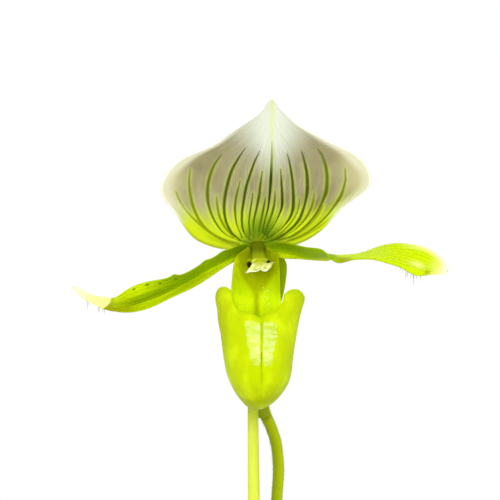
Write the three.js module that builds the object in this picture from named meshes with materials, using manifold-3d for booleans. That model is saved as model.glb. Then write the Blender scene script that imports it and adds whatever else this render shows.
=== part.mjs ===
// Potted slipper orchid, Paphiopedilum Maudiae, in bloom. Millimetres, +Z up, the flower faces -Y.
import * as THREE from 'three';
import { mergeVertices } from 'three/addons/utils/BufferGeometryUtils.js';
import Module from 'manifold-3d';

const wasm = await Module();
wasm.setup();
const { Manifold, Mesh } = wasm;
const V = (x, y, z) => new THREE.Vector3(x, y, z);

// Driving dimensions, mm.
const GAP = 0.35; // air left between two grown pieces that meet
const FLOWER = V(-3, -14, 350); // where the flower's parts join, above the pot's underside
const POT = {
  height: 104, footR: 43, mouthR: 56, wall: 5, floor: 6,
  rimHeight: 20, rimOut: 3.5, holeR: 4.5, holeRing: 24,
};
const BARK = { top: 92, chips: 62, seed: 7, wellFloor: 86 };
const STAKE = { footR: 2.2, neckR: 1.74, tipR: 1.5, foot: V(-2.12, -19, 40), tip: V(-4.52, -5, 310) };
const TIE = { z: 252, wire: 0.6 };
const STEM_R = 1.65; // scape
const OVARY_R = 2.35;

// Two fans of leaves. `turn` swings the leaf's heading along its length.
const OLD_GROWTH = { at: [0, 0], heading: 165, wellR: 12.6 };
const YOUNG_GROWTH = { at: [12, 30.5], heading: 170, wellR: 7.9 };
const LEAVES = [
  { growth: OLD_GROWTH, side: 0, baseR: 11.2, length: 158, width: 40, rise: 78, fall: -38, turn: 10 },
  { growth: OLD_GROWTH, side: 1, baseR: 11.2, length: 150, width: 41, rise: 78, fall: -34, turn: -6 },
  { growth: OLD_GROWTH, side: 0, baseR: 8.3, length: 165, width: 42, rise: 83, fall: -8, turn: 18 },
  { growth: OLD_GROWTH, side: 1, baseR: 8.3, length: 160, width: 41, rise: 82, fall: -2, turn: 14 },
  { growth: OLD_GROWTH, side: 0, baseR: 5.2, length: 138, width: 37, rise: 86, fall: 20, turn: -6 },
  { growth: OLD_GROWTH, side: 1, baseR: 5.2, length: 126, width: 36, rise: 86, fall: 26, turn: 6 },
  { growth: YOUNG_GROWTH, side: 0, baseR: 6.4, length: 128, width: 34, rise: 80, fall: -20, turn: -58 },
  { growth: YOUNG_GROWTH, side: 1, baseR: 6.4, length: 122, width: 35, rise: 80, fall: -18, turn: 48 },
  { growth: YOUNG_GROWTH, side: 0, baseR: 3.4, length: 104, width: 30, rise: 84, fall: 22, turn: -62 },
  { growth: YOUNG_GROWTH, side: 1, baseR: 3.4, length: 92, width: 28, rise: 86, fall: 34, turn: 60 },
];

// Sections from the flower's centre to the tip: mid line, then the two margins, in flower coordinates.
const DORSAL = {
  mid: [[-0.1, 0.9, 1.3], [0.1, 0.9, 2.4], [0.9, 0.6, 4.6], [2, 0, 8.4], [3.2, -0.5, 13],
    [3.8, -1, 19], [4, -1.2, 24.6], [4, -1.2, 29.5], [3.9, -1, 34.2], [3.9, -0.6, 38.5],
    [3.8, -1, 42.2]],
  a: [[-1.7, 0.8, 1], [-5.2, 2.5, -0.6], [-9.9, 4, -0.9], [-18.3, 5.5, 2.1], [-23.7, 5.5, 8.9],
    [-28.4, 4.5, 16.2], [-24.4, 3, 23.7], [-13.4, 2, 29.2], [-4.4, 1, 34.9], [1.3, 0, 39],
    [3.3, -1, 42.3]],
  b: [[1.5, 0.8, 1], [5.8, 2.5, 0.2], [11.1, 3.5, 0.5], [18, 5, 4.2], [24.3, 5.5, 10.8],
    [32.7, 4.5, 18.2], [30.5, 3, 24.7], [19.8, 2, 30.7], [11.4, 1, 35.3], [6.7, 0, 39.1],
    [4.3, -1, 42.3]],
};
const SYNSEPAL = {
  mid: [[0, 1.3, -2.3], [0.2, 3.6, -7], [0.4, 4.6, -14], [0.6, 4.2, -21], [0.8, 3, -27.5]],
  a: [[-2, 1.5, -2.5], [-6.8, 2.4, -5.4], [-7, 3.2, -12], [-5.4, 3.2, -20.5], [0.2, 3, -28]],
  b: [[2.2, 1.5, -2.2], [7.8, 2.2, -4], [8, 3.2, -11], [5.4, 3.2, -20], [1.4, 3, -28]],
};
const PETAL_LEFT = {
  mid: [[-0.6, 1, -0.3], [-3.2, 0.7, -1.2], [-7.2, -1, -3.2], [-13.9, -2, -6.5], [-20.3, -2.5, -10.1],
    [-26.2, -3.5, -13], [-32, -4.5, -15.3], [-37.1, -5.5, -16.7], [-40.8, -7, -17], [-43.4, -7, -16.5],
    [-45.8, -7.7, -15.7], [-48.7, -9.2, -14.5], [-52.6, -11, -11.6]],
  a: [[-0.6, 0.9, 0.2], [-3.2, 0, 0.5], [-7.8, -3.5, -0.7], [-14.7, -6, -4.45], [-20.3, -8, -7.6],
    [-26.6, -9, -9.2], [-32.9, -9.5, -10.7], [-37.7, -10.5, -12.7], [-41.2, -11.5, -14.5],
    [-43.4, -9.5, -15], [-45.7, -9, -14.4], [-48.7, -10, -13.3], [-52.6, -11.2, -11.3]],
  b: [[-0.6, 1, -1], [-3.2, 0.3, -2.8], [-8.1, -3, -5.2], [-14.7, -5, -9.35], [-20.2, -6, -12.6],
    [-25.8, -6.5, -15.4], [-31.6, -7, -17.7], [-37.6, -6.5, -19], [-41.6, -5.2, -19],
    [-43.7, -5.6, -17.9], [-46, -6.6, -17.3], [-48.9, -8, -15.8], [-52.8, -10.9, -12]],
};
const PETAL_RIGHT = {
  mid: [[0.6, 1, -0.3], [3.2, 0.6, -1], [7.8, -1.5, -1.6], [13.8, -3, -2.6], [18.4, -4, -2.8],
    [21, -4.6, -2.75], [24, -5.1, -3.1], [28.2, -6, -3], [34.1, -7, -2.3], [40.6, -8.5, -2.9],
    [46, -10, -4.1], [50.6, -11.5, -5.9], [53.5, -13, -7.3]],
  a: [[0.6, 1, 0.4], [3.2, 0, 0.9], [8, -4.5, 0.9], [14, -7.5, -0.2], [18.2, -9, -1.6],
    [20.6, -10, -3.4], [23.5, -10.8, -4.6], [27.6, -11.6, -4.1], [33.8, -12.5, -3.9],
    [39.6, -13, -5.7], [44.5, -13.5, -8.9], [49.3, -13.3, -7.9], [53.3, -13.2, -8]],
  b: [[0.6, 1, -1], [3.2, 0.2, -2.6], [7.5, -3, -3.6], [13.6, -1.5, -4], [18.9, 0.5, -3.85],
    [21.4, 0.4, -4.05], [24.3, 0.3, -3.2], [28.8, -0.5, -2.1], [34.7, -1.7, -0.55], [41.8, -4, 0.5],
    [47.8, -6.5, -0.2], [51.7, -9.5, -2.9], [54, -12.6, -6.6]],
};

// The lip's pouch by height: half width, front and back of the cup, and its middle (flower coordinates).
const POUCH = [
  // z, half width, front y, back y, middle x
  [-45.5, 0.9, -19.1, -17.9, -0.3],
  [-44.6, 2.6, -22.3, -15.6, -0.25],
  [-43.2, 4.2, -25.3, -13.8, 0],
  [-40.7, 6.2, -28.2, -12, 0.2],
  [-38.2, 7.6, -29.8, -10.9, 0.3],
  [-35.5, 8.5, -30.5, -10, 0.18],
  [-32.4, 9, -30.7, -9.3, 0.05],
  [-27.9, 9.7, -30.1, -8.6, 0.05],
  [-24.8, 10.2, -29.1, -8.2, 0.12],
  [-20.9, 11, -27.4, -7.9, 0.1],
  [-18, 11.6, -26, -7.4, 0.35],
  [-14.7, 12.4, -24.6, -6.6, 0.55],
  [-11.5, 12.2, -23.4, -6, 0.6],
];
// Height of the pouch's rim by angle from the front, degrees: notch, ear, gap, back wall.
const RIM_LEFT = [
  [0, -19.9], [5, -19.4], [10, -18.9], [20, -18.3], [31, -17.7], [36, -16.2], [40, -13.6], [45, -12.4],
  [50, -11.8], [58, -11.5], [67, -11.8], [74, -12.3], [80, -13], [90, -14.4], [104, -17], [116, -18.6],
  [128, -19.2], [180, -19.6],
];
const RIM_RIGHT = [
  [0, -19.9], [5, -19.4], [10, -18.9], [20, -18.3], [25, -17.9], [29, -16.2], [32, -14.1], [37, -13],
  [44, -12.4], [53, -12.2], [60, -12.4], [66, -12.9], [73, -13.6], [80, -14.3], [90, -15.4],
  [104, -17.4], [116, -18.7], [128, -19.2], [180, -19.6],
];
const CLAW = {
  mid: [[0, -0.9, -4], [0, -1.5, -5.2], [0, -2.4, -7], [0, -3.9, -10], [0, -5.9, -14], [0, -7.4, -18],
    [0, -7.9, -23]],
  a: [[-3.4, -1.5, -0.6], [-6.1, -3.4, -2.7], [-7, -5.2, -5.4], [-7.45, -6.9, -9.5], [-7.7, -8.7, -14],
    [-7.2, -9.9, -18], [-6.6, -9.8, -23]],
  b: [[3.4, -1.5, -0.6], [5.6, -3.4, -2.5], [6, -5.2, -5.5], [6.2, -6.9, -9.5], [6.3, -8.7, -14],
    [6.6, -9.9, -18], [6.6, -9.8, -23]],
};

// Scape and ovary, flower coordinates, from the flower back and down to the bark: x, y, z, radius.
const SCAPE = [
  [0, 2.4, 0.2, 2.3], [0, 4.1, -0.8, 2.45], [0, 7.6, -5, OVARY_R], [0, 10.6, -12, OVARY_R],
  [0, 12.6, -22, OVARY_R], [0, 13.7, -33, 2.2], [0.7, 14.4, -42, 1.9], [1.9, 14.4, -49, 1.75],
  [4, 14.3, -54, STEM_R], [5.4, 14.2, -58.5, STEM_R], [6.05, 14.2, -64, STEM_R],
  [6.1, 14.2, -68, STEM_R], [5.7, 14.2, -74, STEM_R], [4.8, 14.3, -90, 1.75], [4, 14.6, -130, 1.9],
  [3.3, 14.3, -190, 2.05], [3, 14, -240, 2.2], [3, 14, BARK.wellFloor + GAP - FLOWER.z, 2.3],
];

// Small helpers.
const clamp = (v, lo, hi) => Math.min(hi, Math.max(lo, v));
const mix = (a, b, t) => a + (b - a) * t;
const rad = (d) => d * Math.PI / 180;
const vec = (p) => V(p[0], p[1], p[2]);

function smooth(t) {
  const c = clamp(t, 0, 1);
  return c * c * (3 - 2 * c);
}

function randomFrom(seed) {
  let s = seed;
  return () => {
    s = (s * 1664525 + 1013904223) % 4294967296;
    return s / 4294967296;
  };
}

// Straight-line lookup in rows of [key, value, value...].
function lookup(rows, key) {
  const last = rows.length - 1;
  let i = 0;
  while (i < last - 1 && rows[i + 1][0] < key) i += 1;
  const t = clamp((key - rows[i][0]) / (rows[i + 1][0] - rows[i][0]), 0, 1);
  return rows[i].map((v, k) => mix(v, rows[i + 1][k], t));
}

function geometryOf(points, faces) {
  const g = new THREE.BufferGeometry();
  g.setAttribute('position', new THREE.Float32BufferAttribute(points.flatMap((p) => [p.x, p.y, p.z]), 3));
  g.setIndex(faces.flat());
  g.computeVertexNormals();
  return g;
}

// A closed geometry as a solid that can be joined and cut.
function solidOf(geometry) {
  const bare = geometry.clone();
  bare.deleteAttribute('normal');
  bare.deleteAttribute('uv');
  const merged = mergeVertices(bare, 1e-4);
  return new Manifold(new Mesh({
    numProp: 3,
    vertProperties: new Float32Array(merged.attributes.position.array),
    triVerts: new Uint32Array(merged.index.array),
  }));
}

function geometryFrom(solid) {
  const m = solid.getMesh();
  const g = new THREE.BufferGeometry();
  g.setAttribute('position', new THREE.BufferAttribute(new Float32Array(m.vertProperties), 3));
  g.setIndex(new THREE.BufferAttribute(new Uint32Array(m.triVerts), 1));
  g.computeVertexNormals();
  return g;
}

// Closed blade: a grid of middle points, thickened along the grid's own normals.
// `closed` joins the last column to the first (a shell), `thick(u, v)` is the blade's thickness.
function blade(rows, thick, closed = false) {
  const m = rows.length;
  const n = rows[0].length;
  const wrap = (j) => (closed ? (j + n) % n : clamp(j, 0, n - 1));
  const top = [];
  const bottom = [];
  for (let i = 0; i < m; i += 1) {
    for (let j = 0; j < n; j += 1) {
      const du = rows[Math.min(i + 1, m - 1)][j].clone().sub(rows[Math.max(i - 1, 0)][j]);
      const dv = rows[i][wrap(j + 1)].clone().sub(rows[i][wrap(j - 1)]);
      const half = thick(i / (m - 1), j / (n - 1)) / 2;
      const normal = du.cross(dv).normalize().multiplyScalar(half);
      top.push(rows[i][j].clone().add(normal));
      bottom.push(rows[i][j].clone().sub(normal));
    }
  }
  const T = (i, j) => i * n + wrap(j);
  const B = (i, j) => m * n + i * n + wrap(j);
  const faces = [];
  const columns = closed ? n : n - 1;
  for (let i = 0; i < m - 1; i += 1) {
    for (let j = 0; j < columns; j += 1) {
      faces.push([T(i, j), T(i + 1, j), T(i + 1, j + 1)], [T(i, j), T(i + 1, j + 1), T(i, j + 1)]);
      faces.push([B(i, j), B(i + 1, j + 1), B(i + 1, j)], [B(i, j), B(i, j + 1), B(i + 1, j + 1)]);
    }
    if (!closed) {
      faces.push([T(i, 0), B(i, 0), B(i + 1, 0)], [T(i, 0), B(i + 1, 0), T(i + 1, 0)]);
      const e = n - 1;
      faces.push([T(i, e), B(i + 1, e), B(i, e)], [T(i, e), T(i + 1, e), B(i + 1, e)]);
    }
  }
  for (let j = 0; j < columns; j += 1) {
    const e = m - 1;
    faces.push([T(0, j), T(0, j + 1), B(0, j + 1)], [T(0, j), B(0, j + 1), B(0, j)]);
    faces.push([T(e, j), B(e, j + 1), T(e, j + 1)], [T(e, j), B(e, j), B(e, j + 1)]);
  }
  return geometryOf([...top, ...bottom], faces);
}

// Grid of points on a curved strip through three lines: the middle and its two margins.
function strip(lines, lengthwise, across, shape = () => 0) {
  const curve = (list) => new THREE.CatmullRomCurve3(list.map(vec), false, 'centripetal');
  const mid = curve(lines.mid);
  const a = curve(lines.a);
  const b = curve(lines.b);
  const rows = [];
  for (let i = 0; i <= lengthwise; i += 1) {
    const u = i / lengthwise;
    const M = mid.getPoint(u);
    const A = a.getPoint(u);
    const B = b.getPoint(u);
    const span = B.clone().sub(A).multiplyScalar(0.5);
    const bow = A.clone().add(B).multiplyScalar(0.5).sub(M);
    const along = mid.getTangent(u);
    const normal = along.clone().cross(span).normalize();
    const row = [];
    for (let j = 0; j <= across; j += 1) {
      const t = 2 * j / across - 1;
      const p = M.clone().addScaledVector(span, t).addScaledVector(bow, t * t);
      row.push(p.addScaledVector(normal, shape(u, t)));
    }
    rows.push(row);
  }
  return rows;
}

// Round body along a path of [x, y, z, radius] rows, with flat ends.
function tube(rows, sides, steps) {
  const path = new THREE.CatmullRomCurve3(rows.map(vec), false, 'centripetal');
  const points = [];
  const faces = [];
  let side = V(1, 0, 0);
  for (let i = 0; i <= steps; i += 1) {
    const u = i / steps;
    const at = path.getPoint(u);
    const along = path.getTangent(u);
    side = side.clone().addScaledVector(along, -side.dot(along)).normalize();
    const up = along.clone().cross(side);
    const k = u * (rows.length - 1);
    const r = mix(rows[Math.floor(k)][3], rows[Math.ceil(k)][3], k - Math.floor(k));
    for (let j = 0; j < sides; j += 1) {
      const w = 2 * Math.PI * j / sides;
      points.push(at.clone().addScaledVector(side, r * Math.cos(w)).addScaledVector(up, r * Math.sin(w)));
    }
    if (i > 0) {
      const now = i * sides;
      const before = now - sides;
      for (let j = 0; j < sides; j += 1) {
        const k2 = (j + 1) % sides;
        faces.push([before + j, before + k2, now + k2], [before + j, now + k2, now + j]);
      }
    }
  }
  points.push(path.getPoint(0), path.getPoint(1));
  const last = steps * sides;
  for (let j = 0; j < sides; j += 1) {
    const k2 = (j + 1) % sides;
    faces.push([points.length - 2, k2, j], [points.length - 1, last + j, last + k2]);
  }
  return geometryOf(points, faces);
}

// Upright cylinder or cone, radius r0 at height z0 and r1 at z1.
function frustum(r0, r1, z0, z1, sides, x = 0, y = 0) {
  const g = new THREE.CylinderGeometry(r1, r0, z1 - z0, sides);
  return solidOf(g.rotateX(Math.PI / 2).translate(x, y, (z0 + z1) / 2));
}

// The outer skin alone: voids closed in between fused pieces are filled.
function withoutVoids(solid) {
  const skins = solid.decompose().filter((s) => s.volume() > 0);
  return skins.reduce((a, b) => (a.volume() > b.volume() ? a : b));
}

function ball(at, size, sides) {
  const g = new THREE.SphereGeometry(1, sides, Math.round(sides / 2));
  return solidOf(g.scale(...size).translate(...at));
}

// Pot and bark.
const potInside = (z) => mix(POT.footR, POT.mouthR, z / POT.height) - POT.wall;

function pot() {
  const sides = 48;
  const { height: h, footR, mouthR, floor, rimHeight, rimOut, holeR, holeRing } = POT;
  const rimFoot = h - rimHeight;
  const rimR = mix(footR, mouthR, rimFoot / h) + rimOut;
  let body = frustum(footR, mouthR, 0, h, sides);
  body = body.add(frustum(rimR, mouthR + rimOut, rimFoot, h, sides));
  body = body.subtract(frustum(potInside(floor), potInside(h + 1), floor, h + 1, sides));
  for (let k = 0; k < 4; k += 1) {
    const w = rad(45 + 90 * k);
    const x = holeRing * Math.cos(w);
    const y = holeRing * Math.sin(w);
    body = body.subtract(frustum(holeR, holeR, -1, floor + 1, 12, x, y));
  }
  return geometryFrom(body);
}

// One chip of bark: a block with each corner pulled in or out.
function chip(random) {
  const size = [mix(8, 17, random()), mix(6, 10, random()), mix(3.5, 6, random())];
  const g = new THREE.BoxGeometry(1, 1, 1);
  g.deleteAttribute('normal');
  g.deleteAttribute('uv');
  const block = mergeVertices(g);
  const corner = block.attributes.position;
  for (let i = 0; i < corner.count; i += 1) {
    const pulled = [corner.getX(i), corner.getY(i), corner.getZ(i)];
    corner.setXYZ(i, ...pulled.map((c, k) => c * size[k] * mix(0.62, 1.1, random())));
  }
  return block;
}

function pottingBark() {
  const random = randomFrom(BARK.seed);
  const golden = Math.PI * (3 - Math.sqrt(5));
  const { top, wellFloor } = BARK;
  let bed = frustum(potInside(POT.floor) - GAP, potInside(top) - GAP, POT.floor + GAP, top, 40);
  for (let k = 0; k < BARK.chips; k += 1) {
    const r = (potInside(top) - 9.4) * Math.sqrt((k + 0.5) / BARK.chips);
    const w = k * golden;
    const piece = chip(random);
    piece.rotateX(rad(mix(-28, 28, random())));
    piece.rotateY(rad(mix(-28, 28, random())));
    piece.rotateZ(rad(mix(0, 360, random())));
    piece.translate(r * Math.cos(w), r * Math.sin(w), top + mix(-0.6, 1.9, random()));
    bed = bed.add(solidOf(piece));
  }
  for (const { at, wellR } of [OLD_GROWTH, YOUNG_GROWTH]) {
    bed = bed.subtract(frustum(wellR, wellR + 6, wellFloor, top + 12, 28, ...at));
  }
  const lean = STAKE.tip.clone().sub(STAKE.foot);
  const boreAt = (z) => {
    const p = STAKE.foot.clone().addScaledVector(lean, (z - STAKE.foot.z) / lean.z);
    return [p.x, p.y, p.z, STAKE.footR + GAP];
  };
  const bore = solidOf(tube([boreAt(STAKE.foot.z - GAP), boreAt(top + 14)], 12, 2));
  return geometryFrom(withoutVoids(bed.subtract(bore)));
}

// Leaves.

// A leaf in its growth's frame: it clasps the Z axis, climbs, opens and arches out along +X.
function leaf({ baseR, length, width, rise, fall, turn }) {
  const lengthwise = 14;
  const across = 6;
  const substeps = 6;
  const headingAt = (u) => rad(turn * smooth((u - 0.12) / 0.7));
  const climbAt = (u) => rad(mix(rise, fall, Math.pow(u, 1.25)));
  const rows = [];
  const at = V(baseR, 0, 0);
  for (let i = 0; i <= lengthwise; i += 1) {
    const u = i / lengthwise;
    const heading = headingAt(u);
    const climb = climbAt(u);
    const lateral = V(-Math.sin(heading), Math.cos(heading), 0);
    const inward = V(Math.cos(heading), Math.sin(heading), 0).multiplyScalar(-Math.sin(climb));
    inward.add(V(0, 0, Math.cos(climb)));
    const open = smooth((u - 0.02) / 0.3);
    const half = mix(1.44, 0.5, open); // half angle of the blade's cupped section
    const taper = Math.pow(1 - Math.pow(Math.max(0, (u - 0.5) / 0.5), 2.6), 0.62);
    const w = Math.max(0.9, mix(baseR * half, width / 2, smooth(u / 0.42)) * taper);
    const row = [];
    for (let j = 0; j <= across; j += 1) {
      const t = 2 * j / across - 1;
      const keel = 0.14 * w * open * Math.abs(t) * (1 - 0.3 * u);
      const wave = 0.5 * open * t * t * Math.sin(9 * u + baseR + 2 * t);
      const p = at.clone().addScaledVector(lateral, w / half * Math.sin(half * t));
      row.push(p.addScaledVector(inward, w / half * (1 - Math.cos(half * t)) + keel + wave));
    }
    rows.push(row);
    for (let k = 0; k < substeps; k += 1) {
      const uk = u + (k + 0.5) / substeps / lengthwise;
      const step = length / lengthwise / substeps;
      const flat = step * Math.cos(climbAt(uk));
      at.add(V(flat * Math.cos(headingAt(uk)), flat * Math.sin(headingAt(uk)), step * Math.sin(climbAt(uk))));
    }
  }
  return blade(rows, (u, v) => mix(1.3, 0.8, Math.pow(2 * v - 1, 2)));
}

// Flower.
function dorsalSepal() {
  const ribs = (u, t) => 0.28 * Math.cos(Math.PI * 9 * t) * smooth((0.9 - u) / 0.3) * smooth(u / 0.15);
  return blade(strip(DORSAL, 15, 18, ribs), () => 0.8);
}

function petal(lines, phase) {
  const fade = (u) => smooth(u / 0.2) * smooth((1 - u) / 0.1);
  const ruffle = (u, t) => 0.45 * t * t * t * Math.sin(26 * u + phase) * fade(u);
  return blade(strip(lines, 28, 6, ruffle), () => 0.8);
}

const synsepal = () => blade(strip(SYNSEPAL, 9, 6), () => 0.8);

function lip() {
  const around = 34;
  const up = 9;
  const rows = [];
  for (let i = 0; i <= up; i += 1) {
    const row = [];
    for (let j = 0; j < around; j += 1) {
      // Columns sit closer together where the rim climbs into an ear.
      const w0 = 360 * j / around;
      const angle = w0 + 5 * Math.sin(rad(2 * w0));
      const fromFront = Math.abs(((angle + 180) % 360) - 180);
      const rim = lookup(angle < 180 ? RIM_RIGHT : RIM_LEFT, fromFront)[1];
      const z = mix(POUCH[0][0], rim, Math.pow(i / up, 0.8));
      const [, half, front, back, middle] = lookup(POUCH, z);
      const depth = (back - front) / 2;
      const groove = 0.4 * Math.exp(-Math.pow(fromFront / 5, 2)) * smooth((z + 44) / 6);
      const fold = 0.6 * smooth((z + 15.5) / 4) * smooth((70 - fromFront) / 30);
      const roll = 0.5 * Math.exp(-Math.pow((z - rim + 1.6) / 1.2, 2)) * smooth((36 - fromFront) / 12);
      const x = middle + (half - fold) * Math.sin(rad(angle));
      const y = (front + back) / 2 - (depth - groove + roll) * Math.cos(rad(angle));
      row.push(V(x, y, z));
    }
    rows.push(row);
  }
  const shell = solidOf(blade(rows, (u) => mix(1.3, 0.9, u), true));
  const toe = ball([-0.2, -18.5, -45.1], [2.4, 3, 0.8], 14);
  const claw = solidOf(blade(strip(CLAW, 10, 8), () => 0.9));
  return geometryFrom(shell.add(toe).add(claw));
}

function column() {
  const stalk = solidOf(tube([[0, 0.1, -0.7, 2.2], [0, -3, -1.4, 1.9], [0.1, -6.6, -2.6, 1.9]], 12, 5));
  const boss = ball([0.4, -8, -4.2], [2.3, 2.1, 2.6], 14);
  const notch = ball([0.4, -9.9, -3.6], [2.7, 3, 1.9], 12);
  const shield = ball([0.4, -9.3, -5.5], [4.1, 1.3, 2.6], 16).subtract(notch);
  const anthers = [-2.2, 2.6].map((x) => ball([x, -6.6, -4.6], [1.1, 1.3, 1.2], 8));
  const stigma = ball([0.2, -5.6, -5.4], [2, 1.8, 1.6], 10);
  return geometryFrom([shield, boss, stigma, ...anthers].reduce((all, piece) => all.add(piece), stalk));
}

function bract() {
  const rows = [];
  const lengthwise = 8;
  const across = 6;
  for (let i = 0; i <= lengthwise; i += 1) {
    const u = i / lengthwise;
    const z = mix(-50.8, -27, u);
    const k = lookup(SCAPE.slice(3, 9).map((p) => [p[2], p[0], p[1], p[3]]).reverse(), z);
    const r = k[3] + 0.75 + 1.1 * Math.sin(Math.PI * Math.min(1, u * 1.15));
    const half = mix(2.1, 0.22, Math.pow(u, 1.4));
    const row = [];
    for (let j = 0; j <= across; j += 1) {
      const w = half * (2 * j / across - 1);
      row.push(V(k[1] - r * Math.cos(w), k[2] + r * Math.sin(w), z));
    }
    rows.push(row);
  }
  return blade(rows, () => 0.7);
}

const scape = () => tube(SCAPE, 10, 34);

// Support.
const stakeRadius = (t) => lookup([[0, STAKE.footR], [0.88, STAKE.neckR], [1, STAKE.tipR]], t)[1];

function stake() {
  const at = (t, shrink = 1) => [...STAKE.foot.clone().lerp(STAKE.tip, t).toArray(), stakeRadius(t) * shrink];
  return tube([at(0, 0.4), at(0.03), at(0.5), at(0.88), at(0.985), at(1, 0.6)], 12, 10);
}

// Loop that goes round both the scape and the stake.
function tie() {
  const { z, wire } = TIE;
  const t = (z - STAKE.foot.z) / (STAKE.tip.z - STAKE.foot.z);
  const post = STAKE.foot.clone().lerp(STAKE.tip, t);
  const k = lookup([...SCAPE].map((p) => [p[2], p[0], p[1]]).reverse(), z - FLOWER.z);
  const stem = V(k[1], k[2], k[0]).add(FLOWER);
  const across = stem.clone().sub(post).setZ(0);
  const heading = Math.atan2(across.y, across.x);
  const around = 20;
  const sides = 6;
  const points = [];
  const faces = [];
  for (let i = 0; i < around; i += 1) {
    const w = 2 * Math.PI * i / around;
    const nearStem = Math.cos(w) > 0;
    const reach = (nearStem ? STEM_R + 0.25 : stakeRadius(t)) + wire + GAP;
    const centre = nearStem ? stem : post;
    const ring = V(Math.cos(w + heading), Math.sin(w + heading), 0);
    for (let j = 0; j < sides; j += 1) {
      const s = 2 * Math.PI * j / sides;
      const p = V(centre.x, centre.y, z).addScaledVector(ring, reach + wire * Math.cos(s));
      points.push(p.add(V(0, 0, wire * Math.sin(s))));
      const a = i * sides + j;
      const b = i * sides + (j + 1) % sides;
      const c = ((i + 1) % around) * sides + (j + 1) % sides;
      const d = ((i + 1) % around) * sides + j;
      faces.push([a, d, c], [a, c, b]);
    }
  }
  return geometryOf(points, faces);
}

// Assembly.
const root = new THREE.Group();
root.name = 'potted_paphiopedilum';
const bloom = new THREE.Group();
bloom.position.copy(FLOWER);
root.add(bloom);

function put(parent, name, geometry, color, roughness) {
  const mesh = new THREE.Mesh(geometry, new THREE.MeshStandardMaterial({ color, roughness, metalness: 0 }));
  mesh.name = name;
  parent.add(mesh);
  return mesh;
}

put(root, 'pot', pot(), 0xb4694a, 0.9);
put(root, 'potting_bark', pottingBark(), 0x5b3a24, 0.95);
LEAVES.forEach((spec, k) => {
  const blades = new THREE.Group();
  blades.position.set(...spec.growth.at, BARK.wellFloor + GAP);
  blades.rotation.z = rad(spec.growth.heading + 180 * spec.side);
  root.add(blades);
  put(blades, `leaf_${String(k + 1).padStart(2, '0')}`, leaf(spec), 0x5f8f3a, 0.5);
});
put(bloom, 'scape', scape(), 0x9aae1c, 0.6);
put(bloom, 'bract', bract(), 0x7f9a24, 0.6);
put(bloom, 'dorsal_sepal', dorsalSepal(), 0xe9ecd2, 0.5);
put(bloom, 'synsepal', synsepal(), 0xa9c45a, 0.5);
put(bloom, 'petal_left', petal(PETAL_LEFT, 0.6), 0xa6cc1e, 0.45);
put(bloom, 'petal_right', petal(PETAL_RIGHT, 2.1), 0xa6cc1e, 0.45);
put(bloom, 'lip', lip(), 0xcfe81a, 0.35);
put(bloom, 'column', column(), 0xdfe79a, 0.4);
put(root, 'stake', stake(), 0xdcea5a, 0.5);
put(root, 'tie', tie(), 0x3f6b2a, 0.6);

export default root;
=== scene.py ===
"""Potted slipper orchid, Paphiopedilum Maudiae: the fine surface and the looks of every piece.

Lengths in this file are millimetres until a mesh is made. The flower's pieces are written in
flower coordinates, whose zero is the point where the sepals, petals, lip and column join.
"""
import math

import bmesh
import bpy
import numpy as np
from mathutils import Euler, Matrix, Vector, noise


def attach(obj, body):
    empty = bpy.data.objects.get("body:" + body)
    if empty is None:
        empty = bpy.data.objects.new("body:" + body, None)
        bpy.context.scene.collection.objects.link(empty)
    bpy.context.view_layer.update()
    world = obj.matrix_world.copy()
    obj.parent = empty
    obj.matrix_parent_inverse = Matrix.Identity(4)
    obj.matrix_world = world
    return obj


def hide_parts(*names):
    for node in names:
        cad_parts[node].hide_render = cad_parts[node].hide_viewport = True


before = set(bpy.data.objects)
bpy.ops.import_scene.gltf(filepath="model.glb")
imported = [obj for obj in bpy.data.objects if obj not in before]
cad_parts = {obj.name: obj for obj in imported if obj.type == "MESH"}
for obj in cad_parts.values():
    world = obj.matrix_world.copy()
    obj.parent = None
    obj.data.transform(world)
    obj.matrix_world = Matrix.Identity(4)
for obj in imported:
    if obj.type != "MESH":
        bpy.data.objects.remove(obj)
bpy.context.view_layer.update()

MM = 0.001
GAP = 0.35
FLOWER = np.array([-3.0, -14.0, 350.0])

# Shapes, mm.
POT = dict(height=104, foot_r=43, mouth_r=56, wall=5, floor=6, rim=20, rim_out=3.5, hole_r=4.5, hole_ring=24)
BARK_TOP = 92
WELL_FLOOR = 86
STAKE_FOOT = np.array([-2.12, -19.0, 40.0])
STAKE_TIP = np.array([-4.52, -5.0, 310.0])
STAKE_RADII = np.array([(0, 2.2), (0.88, 1.74), (1, 1.5)])
TIE_Z = 252
STEM_R = 1.65
OVARY_R = 2.35

OLD_GROWTH = dict(at=(0, 0), heading=165, well=12.6)
YOUNG_GROWTH = dict(at=(12, 30.5), heading=170, well=7.9)
# growth, side, base radius, length, width, rise, fall, turn
LEAVES = [
    (OLD_GROWTH, 0, 11.2, 158, 40, 78, -38, 10),
    (OLD_GROWTH, 1, 11.2, 150, 41, 78, -34, -6),
    (OLD_GROWTH, 0, 8.3, 165, 42, 83, -8, 18),
    (OLD_GROWTH, 1, 8.3, 160, 41, 82, -2, 14),
    (OLD_GROWTH, 0, 5.2, 138, 37, 86, 20, -6),
    (OLD_GROWTH, 1, 5.2, 126, 36, 86, 26, 6),
    (YOUNG_GROWTH, 0, 6.4, 128, 34, 80, -20, -58),
    (YOUNG_GROWTH, 1, 6.4, 122, 35, 80, -18, 48),
    (YOUNG_GROWTH, 0, 3.4, 104, 30, 84, 22, -62),
    (YOUNG_GROWTH, 1, 3.4, 92, 28, 86, 34, 60),
]

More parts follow.
